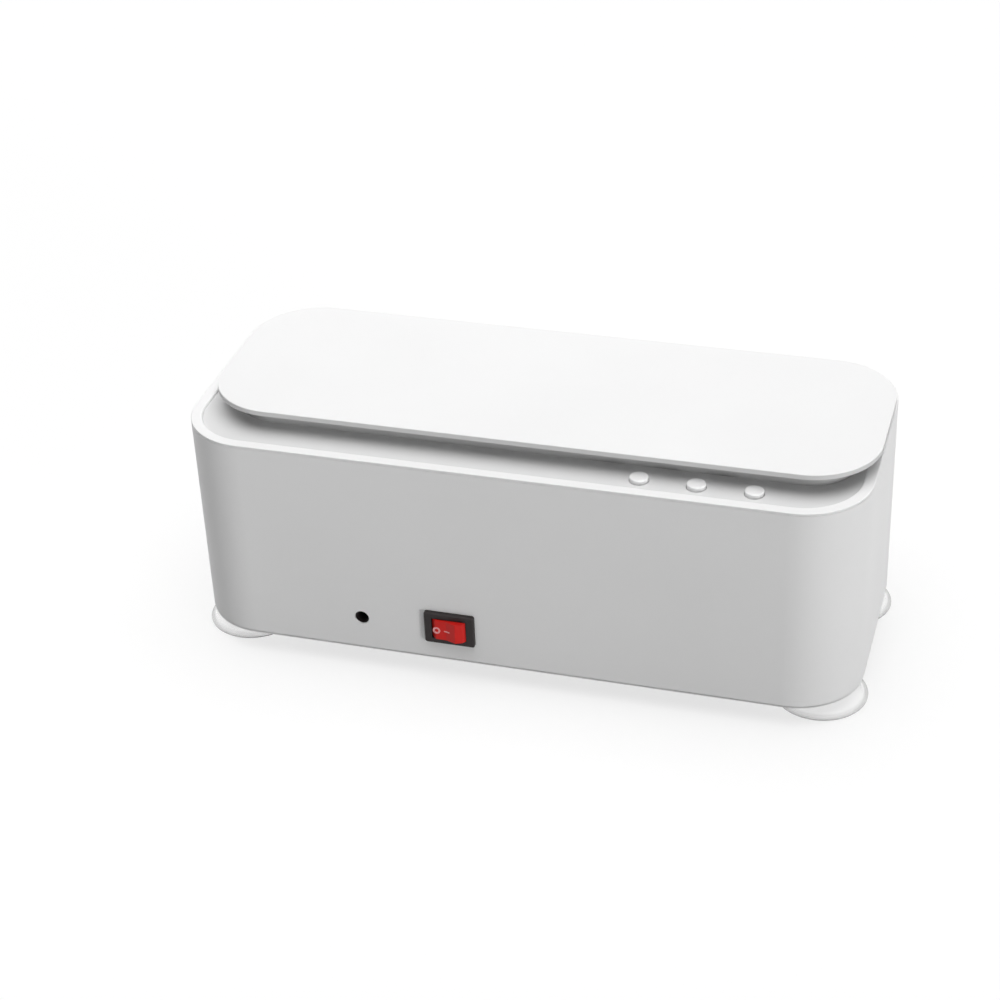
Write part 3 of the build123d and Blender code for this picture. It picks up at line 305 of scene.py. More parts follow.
# ================================================================== finishes
def moulded(
    name, colour, roughness, grain_mm=0.35, grain_depth=0.004, flow=0.03, specular=0.5, shaded_rough_part=None
):
    """Injection-moulded plastic: a fine spark-eroded grain, and a faint unevenness where the melt has flowed.

    The last argument gives a rougher part painted darker as shade: 1 there, 0 elsewhere, and how much darker.
    """
    material, tree = new_material(name)
    melt = noise(tree, 38.0, detail=3.0, shift=3.1)
    smear = noise(tree, (14.0, 9.0, 9.0), detail=4.0, shift=7.7)
    grain = noise(tree, grain_mm, detail=1.0)
    body = mixed(tree, melt, shade(colour, 1 - flow), shade(colour, 1 + flow / 2))
    dullness = roughness + 0.08 * (melt - 0.5) + 0.10 * (smear - 0.5) + 0.06 * (grain - 0.5)
    if shaded_rough_part:
        # painted shade: matt is the colour painted darker, laid where the part lies in shade; that part is
        # also made rougher
        shaded_and_rough, darker = shaded_rough_part(tree)
        matt = mixed(tree, melt, shade(colour, darker - flow), shade(colour, darker + flow / 2))
        body = mixed(tree, shaded_and_rough, body, matt)
        dullness = dullness + BLASTED_DULLNESS * shaded_and_rough
    return finished(
        material, tree,
        Base_Color=body,
        Roughness=dullness.clamp(),
        Specular_IOR_Level=specular,
        Normal=bump(tree, grain, grain_depth),
    )


def unshaded_polished_above(z, top, fade):
    """1 above the part that is rougher and painted darker as shade, 0 within it."""
    return z.ramp(top - fade[0], top - fade[1])


def deck_shade_and_roughness(tree):
    """Everything inside the border and level with the deck: rougher, and painted darker as the shade of its
    recess.
    """
    _, high = BOX["outer_shell"]
    x, y, z = place(tree)
    past_x = x.math("MAXIMUM", x.size() - (high.x - BODY_CORNER), 0.0)
    past_y = x.math("MAXIMUM", y.size() - (high.y - BODY_CORNER), 0.0)
    inset = BODY_CORNER - reach(past_x, past_y)
    return inset.ramp(*BORDER_FADE) * (1.0 - unshaded_polished_above(z, high.z, RIM_FADE)), DECK_PAINTED_SHADE


def lid_edge_shade_and_roughness(tree):
    """The lid's edge and underside: rougher, and painted darker as the shade that falls on them."""
    _, high = BOX["lid_cover"]
    _, _, z = place(tree)
    return 1.0 - unshaded_polished_above(z, high.z, LID_FADE), UNDERSIDE_PAINTED_SHADE


def clear_vinyl():
    """Soft plasticised vinyl: clear but a little cloudy, greyer at the bead round the cup's mouth."""
    material, tree = new_material("clear_vinyl")
    centre = middle("suction_foot_back_right")
    cloud = noise(tree, 6.0, detail=4.0)
    bloom = noise(tree, 2.6, detail=2.0, shift=5.0)
    x, y, _ = place(tree)
    off_axis = reach(x.size() - centre.x, y.size() - centre.y)
    bead = off_axis.ramp(CUP_RADIUS - BEAD_FADE[0], CUP_RADIUS - BEAD_FADE[1])
    skirt = mixed(tree, cloud, grey(0.94), grey(0.98))
    return finished(
        material, tree,
        Base_Color=mixed(tree, bead, skirt, grey(0.74)),
        Roughness=(0.16 + 0.12 * bloom).clamp(),
        IOR=1.18,
        Transmission_Weight=0.92,
        Normal=bump(tree, bloom, 0.006),
    )


def silicone():
    """Cast silicone rubber: matt, faintly mottled, with specks of dust held on it."""
    material, tree = new_material("silicone")
    mottle = noise(tree, 5.0, detail=3.0)
    dust = noise(tree, 0.5, detail=1.0, shift=9.0).ramp(0.66, 0.72)
    body = mixed(tree, mottle, tone(0.66, 0.67, 0.67), tone(0.76, 0.77, 0.77))
    return finished(
        material, tree,
        Base_Color=mixed(tree, 0.35 * dust, body, tone(0.86, 0.85, 0.82)),
        Roughness=(0.52 + 0.2 * mottle).clamp(),
        Specular_IOR_Level=0.4,
        Normal=bump(tree, mottle, 0.02),
    )


def drawn_steel():
    """Deep-drawn stainless steel: brushed along its length, with soft draw marks and dried water spots."""
    material, tree = new_material("tank_steel")
    brush = noise(tree, (22.0, 0.16, 0.16), detail=3.0)
    draw = noise(tree, (9.0, 9.0, 40.0), detail=2.0, shift=4.0)
    spots = tree.node(
        "ShaderNodeTexVoronoi",
        {"feature": "DISTANCE_TO_EDGE"},
        {"Vector": stretched(tree, (11.0,) * 3), "Scale": 1.0},
    )
    outline = 1.0 - (spots - SPOT_RIM).size().ramp(0.0, SPOT_WIDTH)
    ring = outline * noise(tree, 30.0, shift=2.0).ramp(0.5, 0.6)
    marks = (0.6 * brush + 0.4 * draw).clamp()
    return finished(
        material, tree,
        Base_Color=mixed(tree, marks, tone(0.64, 0.64, 0.63), tone(0.80, 0.80, 0.79)),
        Metallic=1.0,
        Roughness=(0.16 + 0.16 * brush + 0.10 * draw + 0.12 * ring).clamp(),
        Normal=bump(tree, brush, 0.006),
    )


def bright_metal(name, dark, light, roughness, streak_mm=(0.3, 0.3, 2.0), stain=0.3):
    """Plated or bare metal: fine streaks from tooling under an uneven film of tarnish."""
    material, tree = new_material(name)
    streak = noise(tree, streak_mm, detail=3.0)
    film = noise(tree, 2.2, detail=4.0, shift=6.0)
    bare = mixed(tree, streak, dark, light)
    return finished(
        material, tree,
        Base_Color=mixed(tree, stain * film, bare, shade(dark, 0.45)),
        Metallic=1.0,
        Roughness=(roughness + 0.14 * film + 0.10 * streak).clamp(),
        Normal=bump(tree, streak, 0.006),
    )


def rocker_red():
    """The rocker's polished red nylon, with fine rub marks."""
    material, tree = new_material("rocker_red")
    melt = noise(tree, 4.0, detail=2.0)
    rub = noise(tree, (0.9, 0.9, 0.08), detail=2.0, shift=2.0)
    return finished(
        material, tree,
        Base_Color=mixed(tree, melt, tone(0.62, 0.014, 0.011), tone(0.72, 0.020, 0.016)),
        Roughness=(0.32 + 0.12 * rub).clamp(),
        Specular_IOR_Level=0.2,
        Normal=bump(tree, rub, 0.002),
    )


def pad_print():
    """White pad-printing ink, thin enough that the red below tints it."""
    material, tree = new_material("mark_print")
    thin = noise(tree, 0.22, detail=2.0)
    return finished(
        material, tree,
        Base_Color=mixed(tree, thin, tone(0.80, 0.29, 0.30), tone(0.97, 0.46, 0.47)),
        Roughness=(0.42 + 0.15 * thin).clamp(),
        Normal=bump(tree, thin, 0.004),
    )


def solder_mask():
    """Green solder mask over etched copper: the tracks show as a paler, raised pattern."""
    material, tree = new_material("board_green")
    brick = tree.node(
        "ShaderNodeTexBrick",
        {"offset": 0.35, "squash": 0.6, "squash_frequency": 3},
        {
            "Vector": stretched(tree, (1.0,) * 3),
            "Color1": grey(1), "Color2": grey(1), "Mortar": grey(0),
            "Scale": 1.0, "Mortar Size": 0.16, "Mortar Smooth": 0.2, "Brick Width": 7.0, "Row Height": 1.6,
        },
        out="Fac",
    )
    weave = noise(tree, (0.5, 0.5, 4.0), detail=2.0)
    mask = mixed(tree, weave, tone(0.012, 0.085, 0.035), tone(0.018, 0.11, 0.045))
    return finished(
        material, tree,
        Base_Color=mixed(tree, brick, mask, tone(0.035, 0.20, 0.07)),
        Roughness=(0.30 + 0.10 * weave).clamp(),
        Coat_Weight=0.3,
        Normal=bump(tree, brick, 0.035, bump(tree, weave, 0.008)),
    )


def sintered(name, dark, light, roughness, grain_mm):
    """A pressed and fired or filled body: a speckle of grains, matt, with pits."""
    material, tree = new_material(name)
    grain = noise(tree, grain_mm, detail=3.0)
    pits = noise(tree, grain_mm * 2.5, detail=1.0, shift=8.0).ramp(0.62, 0.72)
    return finished(
        material, tree,
        Base_Color=mixed(tree, grain, dark, light),
        Roughness=(roughness + 0.15 * grain).clamp(),
        Specular_IOR_Level=0.4,
        Normal=bump(tree, grain - 0.7 * pits, 0.02),
    )


def enamelled_copper():
    """Magnet wire: copper under a clear amber enamel."""
    material, tree = new_material("copper_winding")
    pull = noise(tree, 0.8, detail=3.0)
    return finished(
        material, tree,
        Base_Color=mixed(tree, pull, tone(0.48, 0.16, 0.055), tone(0.72, 0.29, 0.11)),
        Metallic=1.0,
        Roughness=(0.22 + 0.14 * pull).clamp(),
        Coat_Weight=0.6,
        Normal=bump(tree, pull, 0.006),
    )


def capacitor_sleeve():
    """A shrunk dark sleeve with a pale polarity stripe, open over the bare aluminium top of each can."""
    material, tree = new_material("capacitor_sleeve")
    low, high = BOX["electrolytic_capacitors"]
    centre = middle("electrolytic_capacitors")
    radius = (high.y - low.y) / 2
    x, y, z = place(tree)
    across = (x - centre.x).size() - ((high.x - low.x) / 2 - radius)
    top = (z > high.z - CAN_TOP) * (reach(across, y - centre.y) < radius - CAN_RIM)
    stripe = (across > radius * STRIPE_SHARE) * (1.0 - top)
    film = noise(tree, (0.8, 0.8, 5.0), detail=3.0)
    ink = mixed(tree, film, tone(0.012, 0.016, 0.05), tone(0.02, 0.028, 0.085))
    sleeve = mixed(tree, stripe, ink, tone(0.62, 0.64, 0.66))
    aluminium = mixed(tree, film, tone(0.55, 0.55, 0.56), tone(0.72, 0.72, 0.73))
    return finished(
        material, tree,
        Base_Color=mixed(tree, top, sleeve, aluminium),
        Metallic=top,
        Roughness=(0.30 + 0.12 * film).clamp(),
        Normal=bump(tree, film, 0.008),
    )


def silvered_ceramic():
    """A piezo disc: fired silver on its faces, bare buff ceramic on its edge."""
    material, tree = new_material("ceramic")
    low, high = BOX["transducer_disc"]
    x, y, _ = place(tree)
    bare = reach(x - middle("transducer_disc").x, y) > (high.x - low.x) / 2 - DISC_EDGE
    fired = noise(tree, 0.7, detail=3.0)
    swirl = noise(tree, 12.0, detail=3.0, shift=4.0)
    silver = mixed(tree, swirl, tone(0.62, 0.61, 0.57), tone(0.80, 0.79, 0.75))
    buff = mixed(tree, fired, tone(0.50, 0.44, 0.32), tone(0.60, 0.54, 0.41))
    return finished(
        material, tree,
        Base_Color=mixed(tree, bare, silver, buff),
        Metallic=0.75 * (1.0 - bare),
        Roughness=(0.42 + 0.2 * fired).clamp(),
        Normal=bump(tree, fired, 0.012),
    )


def epoxy():
    """Amber structural epoxy with fine bubbles."""
    material, tree = new_material("epoxy")
    bubble = tree.node("ShaderNodeTexVoronoi", (), {"Vector": stretched(tree, (0.8,) * 3), "Scale": 1.0})
    depth = noise(tree, 3.0, detail=2.0)
    return finished(
        material, tree,
        Base_Color=mixed(tree, depth, tone(0.34, 0.20, 0.07), tone(0.50, 0.33, 0.14)),
        Roughness=(0.24 + 0.15 * depth).clamp(),
        Coat_Weight=0.3,
        Normal=bump(tree, bubble, 0.03),
    )


def paint(material, *nodes):
    """Gives CAD nodes a finish in place of their plain one."""
    for node in nodes:
        slots = NODES[node].data.materials
        slots.clear()
        slots.append(material)


def finish_housing():
    # painted shade on the deck inside the border, which is also made rougher
    housing = moulded("white_housing", grey(0.89), roughness=0.42, specular=0.3, shaded_rough_part=deck_shade_and_roughness)
    paint(housing, "outer_shell")
    cover = moulded("white_cover", grey(0.80), roughness=0.55, grain_mm=0.6, grain_depth=0.012)
    paint(cover, "bottom_cover")
    # painted shade on the lid's edge and underside, which are also made rougher
    paint(moulded("white_lid", grey(0.87), roughness=0.40, shaded_rough_part=lid_edge_shade_and_roughness), "lid_cover")
    # painted shade: the liner's grey stands in for the shade under the lid
    liner = moulded("lid_liner_grey", grey(0.52), roughness=0.55, grain_mm=0.5, grain_depth=0.01)
    paint(liner, "lid_liner")
    buttons = moulded("button_white", grey(0.89), roughness=0.34, grain_depth=0.001)
    paint(buttons, "button_left", "button_middle", "button_right")
    paint(silicone(), "tank_gasket", "lid_seal")
    paint(drawn_steel(), "tank")
    screws = bright_metal("screw_steel", grey(0.42), tone(0.62, 0.62, 0.61), 0.28, streak_mm=0.12)
    paint(screws, "cover_screws", "button_board_screws", "driver_board_screws")


def finish_switch_and_inlet():
    nylon = moulded("black_nylon", tone(0.020, 0.015, 0.015), roughness=0.48, flow=0.1, specular=0.28)
    paint(nylon, "switch_bezel", "jack_body", "tact_switches", "control_chip", "power_transistor")
    paint(rocker_red(), "switch_rocker")
    plunger = moulded("plunger_black", tone(0.030, 0.030, 0.032), roughness=0.38, flow=0.1, specular=0.35)
    paint(plunger, "plunger_left", "plunger_middle", "plunger_right")
    brass = bright_metal("plated_brass", tone(0.60, 0.54, 0.40), tone(0.76, 0.70, 0.55), 0.24)
    paint(brass, "switch_terminals", "jack_terminals", "jack_pin")


def finish_electronics():
    paint(solder_mask(), "driver_board", "button_board")
    ferrite = sintered("ferrite", tone(0.030, 0.030, 0.032), tone(0.075, 0.075, 0.078), 0.55, grain_mm=0.25)
    paint(ferrite, "transformer_core")
    phenolic = sintered("phenolic", tone(0.050, 0.022, 0.012), tone(0.085, 0.040, 0.020), 0.45, grain_mm=0.4)
    paint(phenolic, "transformer_base")
    film = moulded(
        "film_yellow", tone(0.72, 0.50, 0.06), roughness=0.30, grain_mm=0.8, grain_depth=0.01, flow=0.1
    )
    paint(film, "film_capacitors")
    paint(moulded("connector_nylon", tone(0.74, 0.71, 0.62), roughness=0.45, flow=0.05), "board_connectors")
    paint(capacitor_sleeve(), "electrolytic_capacitors")
    paint(silvered_ceramic(), "transducer_disc")
    paint(epoxy(), "transducer_bond")
    sink = bright_metal(
        "sink_aluminium", tone(0.55, 0.56, 0.57), tone(0.74, 0.75, 0.76), 0.34, (0.12, 0.12, 9.0), stain=0.15
    )
    paint(sink, "heat_sink")


# ================================================================== pieces
def add_piece(name, mesh, body, slot, material, *replaced):
    """A finished mesh as a piece that rides on a body."""
    if material:
        mesh.materials.clear()
        mesh.materials.append(material)
    piece = bpy.data.objects.new(name, mesh)
    bpy.context.scene.collection.objects.link(piece)
    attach(piece, body)
    if replaced:
        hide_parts(*replaced)


def arc_points(start, end, count):
    """Points of an arc from start to end whose centre is on the axis."""
    centre = (start[0] ** 2 + start[1] ** 2 - end[0] ** 2 - end[1] ** 2) / (2 * (start[1] - end[1]))
    first, last = (math.atan2(z - centre, r) for r, z in (start, end))
    radius = math.hypot(start[0], start[1] - centre)
    turns = [first + (last - first) * i / count for i in range(count + 1)]
    return [(radius * math.cos(turn), centre + radius * math.sin(turn)) for turn in turns]


def round_points(centre, radius, start, end, count):
    """Points of a small round, its angles in degrees."""
    turns = [math.radians(start + (end - start) * i / count) for i in range(count + 1)]
    return [(centre[0] + radius * math.cos(turn), centre[1] + radius * math.sin(turn)) for turn in turns]


def closed_mesh(name, shape):
    """The mesh of a closed shape, its faces turned outwards."""
    bmesh.ops.recalc_face_normals(shape, faces=shape.faces)
    mesh = bpy.data.meshes.new(name)
    shape.to_mesh(mesh)
    shape.free()
    return mesh


def turned(name, profile, centre, segments):
    """A solid of revolution about an upright axis from a closed profile that starts and ends on the axis."""
    shape = bmesh.new()
    turns = [math.tau * i / segments for i in range(segments)]
    rings = []
    for r, z in profile:
        around = turns if r > 0 else [0.0]
        rings.append([
            shape.verts.new(((centre.x + r * math.cos(t)) * MM, (centre.y + r * math.sin(t)) * MM, z * MM))
            for t in around
        ])
    for below, above in zip(rings, rings[1:]):
        for i in range(segments):
            j = (i + 1) % segments
            corners = [ring[k % len(ring)] for ring, k in ((below, i), (below, j), (above, j), (above, i))]
            shape.faces.new(list(dict.fromkeys(corners)))
    return closed_mesh(name, shape)


def smooth(mesh, degrees=35):
    """Smooth shading, broken at edges sharper than given."""
    mesh.shade_smooth()
    mesh.set_sharp_from_angle(angle=math.radians(degrees))
    return mesh


def stud_outline():
    """The stud that holds a foot in the cover, from its top down to the cover's outer face."""
    seat = FOOT_DROP + COVER_THICKNESS
    top = seat + STUD_HEAD_RISE
    crown = STUD_RADIUS - STUD_TAPER
    points = [(0, top), (crown, top)]
    points += round_points((crown, top - EDGE_ROUND), EDGE_ROUND, 80, 20, 4)
    points += [(STUD_HEAD, seat + STUD_HEAD_EDGE), (STUD_HEAD, seat)]
    return points + [(STUD_RADIUS, seat), (STUD_RADIUS, FOOT_DROP)]


def cup_outline():
    """The neck, the domed skirt, the bead round the mouth and the hollow, up to the hollow's middle."""
    shoulder = FOOT_DROP - CUP_NECK_RISE
    bead = (CUP_RADIUS - CUP_LIP, CUP_LIP)
    skirt_foot = (bead[0] - SKIRT_FOOT[0], 2 * CUP_LIP - SKIRT_FOOT[1])
    mouth = CUP_RADIUS - CUP_RING
    points = round_points((CUP_NECK - EDGE_ROUND, FOOT_DROP - EDGE_ROUND), EDGE_ROUND, 90, 0, 4)
    points += [(CUP_NECK, shoulder + EDGE_ROUND)]
    points += arc_points((CUP_NECK + NECK_FLARE, shoulder), skirt_foot, ARC_STEPS)
    points += round_points(bead, CUP_LIP, 75, -90, 10)
    points += [(mouth, 0.0)]
    points += arc_points((mouth - MOUTH_CHAMFER[0], MOUTH_CHAMFER[1]), (0, CUP_HOLLOW), ARC_STEPS)[:-1]
    return points + [(0, CUP_HOLLOW)]


def suction_cup(corner, vinyl):
    """A foot: a stud held in the cover, a neck, and a domed cup with a bead round its mouth."""
    node = f"suction_foot_{corner}"
    cup = turned(node + "_cup", stud_outline() + cup_outline(), middle(node), CUP_SEGMENTS)
    add_piece(f"cup_{corner}", smooth(cup), "housing", "clear_vinyl", vinyl, node)


def on_rocker_face(x, z, depth):
    """A point at a depth under the rocker's front, from its pivot: past the valley the face slopes out."""
    return Vector((x, MARK_FACE + depth - max(0.0, x - VALLEY_OFFSET) * VALLEY_SLOPE, z))


def skin_strip(shape, skins, closed):
    """Faces of a thin solid from its two skins, each a strip between two rails."""
    count = len(skins[0][0])
    for i in range(count if closed else count - 1):
        j = (i + 1) % count
        for left, right in skins:
            shape.faces.new((left[i], left[j], right[j], right[i]))
        for outer, inner in zip(*skins):
            shape.faces.new((outer[i], outer[j], inner[j], inner[i]))
    if not closed:
        for i in (0, -1):
            shape.faces.new((skins[0][0][i], skins[0][1][i], skins[1][1][i], skins[1][0][i]))


def printed_mark(name, rails, closed, ink):
    """A thin raised print on the rocker: ink between two rails, each a row of x, z places from its pivot."""
    pivot = Vector(next(joint["pos_m"] for joint in frame["joints"] if joint["name"] == "rocker_tilt"))
    shape = bmesh.new()
    skins = [
        [[shape.verts.new(pivot + on_rocker_face(x, z, depth) * MM) for x, z in rail] for rail in rails]
        for depth in (-MARK_RAISED, MARK_SUNK)
    ]
    skin_strip(shape, skins, closed)
    add_piece(name, closed_mesh(name, shape), "rocker", "rocker_red", ink)


def ring_rails():
    turns = [math.tau * i / MARK_SEGMENTS for i in range(MARK_SEGMENTS)]
    return [
        [(RING_OFFSET + math.cos(turn) * r, MARK_DROP + math.sin(turn) * r) for turn in turns]
        for r in (RING_RADIUS, RING_BORE)
    ]


def dash_rails():
    """The dash's two long sides, which meet at its round ends and bend at the rocker's valley."""
    end = DASH_WIDTH / 2
    left, right = DASH_OFFSET - DASH_LENGTH / 2, DASH_OFFSET + DASH_LENGTH / 2
    turns = [math.radians(degrees) for degrees in range(10, 100, 10)]
    places = [(left + end * (1 - math.cos(turn)), end * math.sin(turn)) for turn in turns]
    places += [(VALLEY_OFFSET, end)]
    places += [(right - end * (1 - math.cos(turn)), end * math.sin(turn)) for turn in reversed(turns)]
    return [[(x, MARK_DROP + side * half) for x, half in places] for side in (1, -1)]


def rocker_marks():
    """The open ring on the rocker's pressed half, and the dash that lies across its valley."""
    ink = pad_print()
    printed_mark("off_ring", ring_rails(), True, ink)
    printed_mark("on_dash", dash_rails(), False, ink)


# ------------------------------------------------------------------ geometry nodes
class Graph:
    """A Geometry Nodes tree that is put together node by node, with named sizes as its inputs."""

    def __init__(self, name):
        self.tree = bpy.data.node_groups.new(name, "GeometryNodeTree")
        self.tree.interface.new_socket("Geometry", in_out="INPUT", socket_type="NodeSocketGeometry")
        self.tree.interface.new_socket("Geometry", in_out="OUTPUT", socket_type="NodeSocketGeometry")
        self.source = self.tree.nodes.new("NodeGroupInput")
        self.sizes = {}

    def size(self, name, value):
        """A named input, and the value it is given."""
        socket = self.tree.interface.new_socket(name, in_out="INPUT", socket_type="NodeSocketFloat")
        self.sizes[socket.identifier] = value
        return self.source.outputs[name]

    def node(self, kind, settings=(), sockets=(), out=0):
        made = self.tree.nodes.new(kind)
        for key, value in dict(settings).items():
            setattr(made, key, value)
        for key, value in dict(sockets).items():
            if isinstance(value, bpy.types.NodeSocket):
                self.tree.links.new(value, made.inputs[key])
            else:
                made.inputs[key].default_value = value
        return made.outputs[out]

    def math(self, operation, *terms):
        return self.node("ShaderNodeMath", {"operation": operation}, enumerate(terms))

    def grow(self, name, geometry, material, points=()):
        """Ends the tree, runs it on a mesh of points and returns what it makes as a plain mesh."""
        real = self.node("GeometryNodeRealizeInstances", (), {0: geometry})
        coated = self.node("GeometryNodeSetMaterial", (), {"Geometry": real, "Material": material})
        end = self.tree.nodes.new("NodeGroupOutput")
        self.tree.links.new(coated, end.inputs[0])
        dots = bpy.data.meshes.new(name + "_points")
        dots.from_pydata([Vector(point) * MM for point in points], [], [])
        carrier = bpy.data.objects.new(name + "_carrier", dots)
        bpy.context.scene.collection.objects.link(carrier)
        modifier = carrier.modifiers.new("grow", "NODES")
        modifier.node_group = self.tree
        for identifier, value in self.sizes.items():
            modifier[identifier] = value
        evaluated = carrier.evaluated_get(bpy.context.evaluated_depsgraph_get())
        mesh = bpy.data.meshes.new_from_object(evaluated)
        carrier.modifiers.remove(modifier)
        bpy.data.objects.remove(carrier)
        return mesh


def wound_turns(name, length, depth, corner, height, wire, foot, material):
    """Close turns of wire round a rounded core, one on another."""
    graph = Graph(name)
    wide = graph.size("Length", length * MM)
    deep = graph.size("Depth", depth * MM)
    bend = graph.size("Corner", corner * MM)
    gauge = graph.size("Wire", wire * MM)
    tall = graph.size("Height", height * MM)
    loop = graph.node("GeometryNodeCurvePrimitiveQuadrilateral", (), {"Width": wide, "Height": deep})
    rounding = {"Curve": loop, "Radius": bend, "Count": BEND_STEPS}
    eased = graph.node("GeometryNodeFilletCurve", {"mode": "POLY"}, rounding)
    thick = graph.math("MULTIPLY", gauge, 0.5)
    section = graph.node("GeometryNodeCurvePrimitiveCircle", (), {"Resolution": WIRE_SIDES, "Radius": thick})
    turn = graph.node("GeometryNodeCurveToMesh", (), {"Curve": eased, "Profile Curve": section})
    shaded = graph.node("GeometryNodeSetShadeSmooth", (), {0: turn})
    layers = graph.math("DIVIDE", tall, gauge)
    count = graph.node("FunctionNodeFloatToInt", {"rounding_mode": "FLOOR"}, {0: layers})
    step = graph.node("ShaderNodeCombineXYZ", (), {"Z": gauge})
    line = {"Count": count, "Start Location": Vector(foot) * MM, "Offset": step}
    stack = graph.node("GeometryNodeMeshLine", (), line)
    turns = graph.node("GeometryNodeInstanceOnPoints", (), {"Points": stack, "Instance": shaded})
    return graph.grow(name, turns, material)


def transformer_winding(copper):
    """The transformer's coil: close turns round the bobbin's block."""
    low, high = BOX["transformer_coil"]
    size = high - low
    centre = middle("transformer_coil")
    turns = wound_turns(
        "coil_turns", size.x - COIL_WIRE, size.y - COIL_WIRE, COIL_CORNER, size.z, COIL_WIRE,
        (centre.x, centre.y, low.z + COIL_WIRE / 2), copper,
    )
    add_piece("coil_turns", turns, "housing", "copper_winding", None)


def drum_outline(foot, top, radius, waist):
    """A ferrite drum: a flange at each end of its waist, and a dimple in its top."""
    shelf, ceiling = foot + CHOKE_FLANGE, top - CHOKE_FLANGE
    dimple, dimple_foot, dimple_depth = CHOKE_DIMPLE
    return [
        (0, foot), (radius - CHOKE_EDGE, foot), (radius, foot + CHOKE_EDGE), (radius, shelf - CHOKE_LIP),
        (radius - CHOKE_LIP, shelf), (waist, shelf), (waist, ceiling), (radius - CHOKE_LIP, ceiling),
        (radius, ceiling + CHOKE_LIP), (radius, top - CHOKE_EDGE), (radius - CHOKE_EDGE, top),
        (dimple, top), (dimple_foot, top - dimple_depth), (0, top - dimple_depth),
    ]


def choke_winding(copper, ferrite):
    """The power inductor: a ferrite drum with close turns round its waist."""
    low, high = BOX["power_inductor"]
    centre = middle("power_inductor")
    radius = (high.x - low.x) / 2
    waist = radius - CHOKE_RIM - CHOKE_WIRE
    drum = turned("choke_drum", drum_outline(low.z, high.z, radius, waist), centre, CHOKE_SEGMENTS)
    add_piece("choke_drum", smooth(drum), "housing", "copper_winding", ferrite, "power_inductor")
    bend = waist + CHOKE_WIRE / 2
    turns = wound_turns(
        "choke_turns", 2 * bend, 2 * bend, bend * ROUND_SHARE, high.z - low.z - 2 * CHOKE_FLANGE, CHOKE_WIRE,
        (centre.x, centre.y, low.z + CHOKE_FLANGE + CHOKE_WIRE / 2), copper,
    )
    add_piece("choke_turns", turns, "housing", "copper_winding", None)


def solder_joints(name, points, solder):
    """Solder fillets that hang below a board, one at each lead."""
    graph = Graph(name)
    pad = graph.size("Pad", SOLDER_PAD * MM)
    rise = graph.size("Rise", SOLDER_RISE * MM)
    top = graph.math("MULTIPLY", pad, SOLDER_TOP)
    cone = graph.node(
        "GeometryNodeMeshCone",
        {"fill_type": "NGON"},
        {
            "Vertices": SOLDER_SIDES, "Side Segments": SOLDER_STEPS,
            "Radius Top": top, "Radius Bottom": pad, "Depth": rise,
        },
    )
    spot = graph.node("GeometryNodeInputPosition")
    height = graph.node("ShaderNodeSeparateXYZ", (), {0: spot}, out="Z")
    share = graph.math("DIVIDE", height, rise)
    drawn_in = graph.math("MULTIPLY", graph.math("SUBTRACT", share, SOLDER_WAIST), share)
    drawn_in = graph.math("ADD", drawn_in, 1.0)
    spread = graph.node("ShaderNodeCombineXYZ", (), {"X": drawn_in, "Y": drawn_in, "Z": -1.0})
    moved = graph.node("ShaderNodeVectorMath", {"operation": "MULTIPLY"}, {0: spot, 1: spread})
    fillet = graph.node("GeometryNodeSetPosition", (), {"Geometry": cone, "Position": moved})
    facing = graph.node("GeometryNodeFlipFaces", (), {0: fillet})
    shaded = graph.node("GeometryNodeSetShadeSmooth", (), {0: facing})
    places = graph.source.outputs["Geometry"]
    joints = graph.node("GeometryNodeInstanceOnPoints", (), {"Points": places, "Instance": shaded})
    mesh = graph.grow(name, joints, solder, points)
    add_piece(name, mesh, "housing", "plated_brass", None)


def row(count, pitch):
    """Evenly spaced places about a middle."""
    return [pitch * (i - (count - 1) / 2) for i in range(count)]


def each_with(places, offsets):
    """Every place moved by every offset."""
    return [place + offset for place in places for offset in offsets]


def leads(node, board, along, across=(0.0,)):
    """Where a part's leads come out below its board, from places along and across the part's middle."""
    centre = middle(node)
    return [(centre.x + x, centre.y + y, BOX[board][0].z) for x in along for y in across]


def node_depth(node):
    low, high = BOX[node]
    return high.y - low.y


def driver_board_leads():
    board = "driver_board"
    chip_rows = row(2, node_depth("control_chip") - CHIP_LEAD)
    base_rows = row(2, node_depth("transformer_base") - 2 * BASE_EDGE)
    film_rows = row(2, node_depth("film_capacitors") - FILM_WIDTH)
    connector_rows = row(3, (node_depth("board_connectors") - CONNECTOR_LENGTH) / 2)
    points = leads("control_chip", board, row(4, PIN_PITCH), chip_rows)
    points += leads("power_transistor", board, row(3, PIN_PITCH))
    points += leads("electrolytic_capacitors", board, each_with(row(2, CAN_SPACING), row(2, CAN_PITCH)))
    points += leads("transformer_base", board, row(4, BASE_PITCH), base_rows)
    points += leads("power_inductor", board, row(2, CHOKE_PITCH))
    points += leads("film_capacitors", board, row(2, FILM_PITCH), film_rows)
    points += leads("board_connectors", board, (0.0,), each_with(connector_rows, row(2, PIN_PITCH)))
    return points


def button_board_leads():
    along, across = (row(2, pitch) for pitch in TACT_PITCH)
    plungers = ("plunger_left", "plunger_middle", "plunger_right")
    return [lead for node in plungers for lead in leads(node, "button_board", along, across)]


def board_joints():
    """Where the leads of the parts come through the two boards."""
    solder = bright_metal("solder", tone(0.50, 0.50, 0.49), tone(0.72, 0.72, 0.71), 0.26, streak_mm=0.3)
    solder_joints("driver_board_solder", driver_board_leads(), solder)
    solder_joints("button_board_solder", button_board_leads(), solder)


# ================================================================== studio
def seen_directly(tree):
    """1 for rays from the camera, from a reflection or through clear material, and 0 for scattered light."""
    rays = tree.node("ShaderNodeLightPath")
    return (rays + rays.also("Is Glossy Ray") + rays.also("Is Transmission Ray")).clamp()


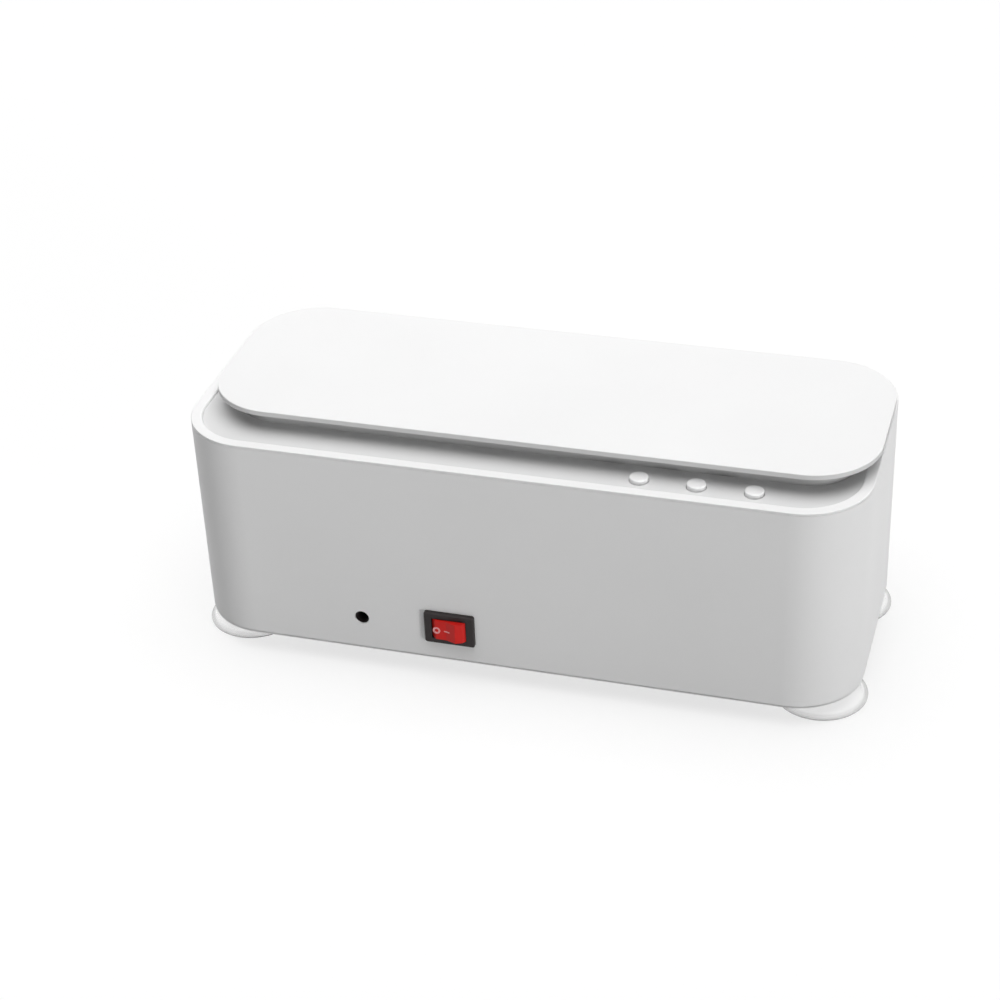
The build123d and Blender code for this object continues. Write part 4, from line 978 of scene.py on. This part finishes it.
def add_softbox(name, shares, angle):
    """A broad soft lamp: shares gives how much it adds to a white face turned along each axis."""
    data = bpy.data.lights.new(name, "SUN")
    data.energy = math.pi * shares.length
    data.angle = angle
    lamp = bpy.data.objects.new(name, data)
    lamp.rotation_euler = shares.to_track_quat("Z", "Y").to_euler()
    bpy.context.scene.collection.objects.link(lamp)


def add_camera():
    data = bpy.data.cameras.new("camera")
    data.sensor_width = SENSOR_WIDTH
    data.lens = CAMERA_LENS
    camera = bpy.data.objects.new("camera", data)
    turn = (
        Matrix.Rotation(CAMERA_AZIMUTH, 4, "Z")
        @ Matrix.Rotation(math.pi / 2 - CAMERA_ELEVATION, 4, "X")
        @ Matrix.Rotation(CAMERA_ROLL, 4, "Z")
    )
    back = turn.to_3x3() @ Vector((0, 0, 1))
    camera.matrix_world = Matrix.Translation(CAMERA_AIM + CAMERA_DISTANCE * back) @ turn
    bpy.context.scene.collection.objects.link(camera)
    bpy.context.scene.camera = camera


def add_sky():
    world = bpy.data.worlds.new("sky")
    world.use_nodes = True
    world.node_tree.nodes.clear()
    tree = Wire(world.node_tree)
    strength = SKY_LEVEL + (1 - SKY_LEVEL) * seen_directly(tree)
    glow = tree.node("ShaderNodeBackground", (), {"Color": grey(1), "Strength": strength})
    tree.node("ShaderNodeOutputWorld", (), {"Surface": glow})
    bpy.context.scene.world = world


def add_floor():
    """A white floor that keeps the object's shadow faintly and throws some light back up."""
    mesh = bpy.data.meshes.new("floor")
    turns = ((-1, -1), (1, -1), (1, 1), (-1, 1))
    corners = [(x * FLOOR_HALF, y * FLOOR_HALF, -FLOOR_GAP * MM) for x, y in turns]
    mesh.from_pydata(corners, [], [(0, 1, 2, 3)])
    floor = bpy.data.objects.new("floor", mesh)
    bpy.context.scene.collection.objects.link(floor)
    material, tree = new_material("studio_floor")
    seen = seen_directly(tree)
    paper = mixed(tree, seen, grey(FLOOR_BOUNCE), grey(1))
    lit = tree.node("ShaderNodeBsdfDiffuse", (), {"Color": paper})
    glow = tree.node("ShaderNodeEmission", (), {"Color": grey(1), "Strength": 1.0})
    close_material(tree, tree.node("ShaderNodeMixShader", (), {0: FLOOR_GLOW * seen, 1: lit, 2: glow}))
    mesh.materials.append(material)


def build_studio():
    bpy.context.scene.view_settings.view_transform = "Standard"
    add_camera()
    add_sky()
    add_floor()
    add_softbox("overhead_softbox", OVERHEAD_SOFTBOX, OVERHEAD_ANGLE)
    add_softbox("corner_softbox", CORNER_SOFTBOX, CORNER_ANGLE)
    add_softbox("back_softbox", BACK_SOFTBOX, BACK_ANGLE)


finish_housing()
finish_switch_and_inlet()
finish_electronics()
vinyl = clear_vinyl()
for corner in ("front_left", "front_right", "back_left", "back_right"):
    suction_cup(corner, vinyl)
rocker_marks()
copper = enamelled_copper()
paint(copper, "transformer_coil")
transformer_winding(copper)
choke_winding(copper, NODES["transformer_core"].data.materials[0])
board_joints()
build_studio()
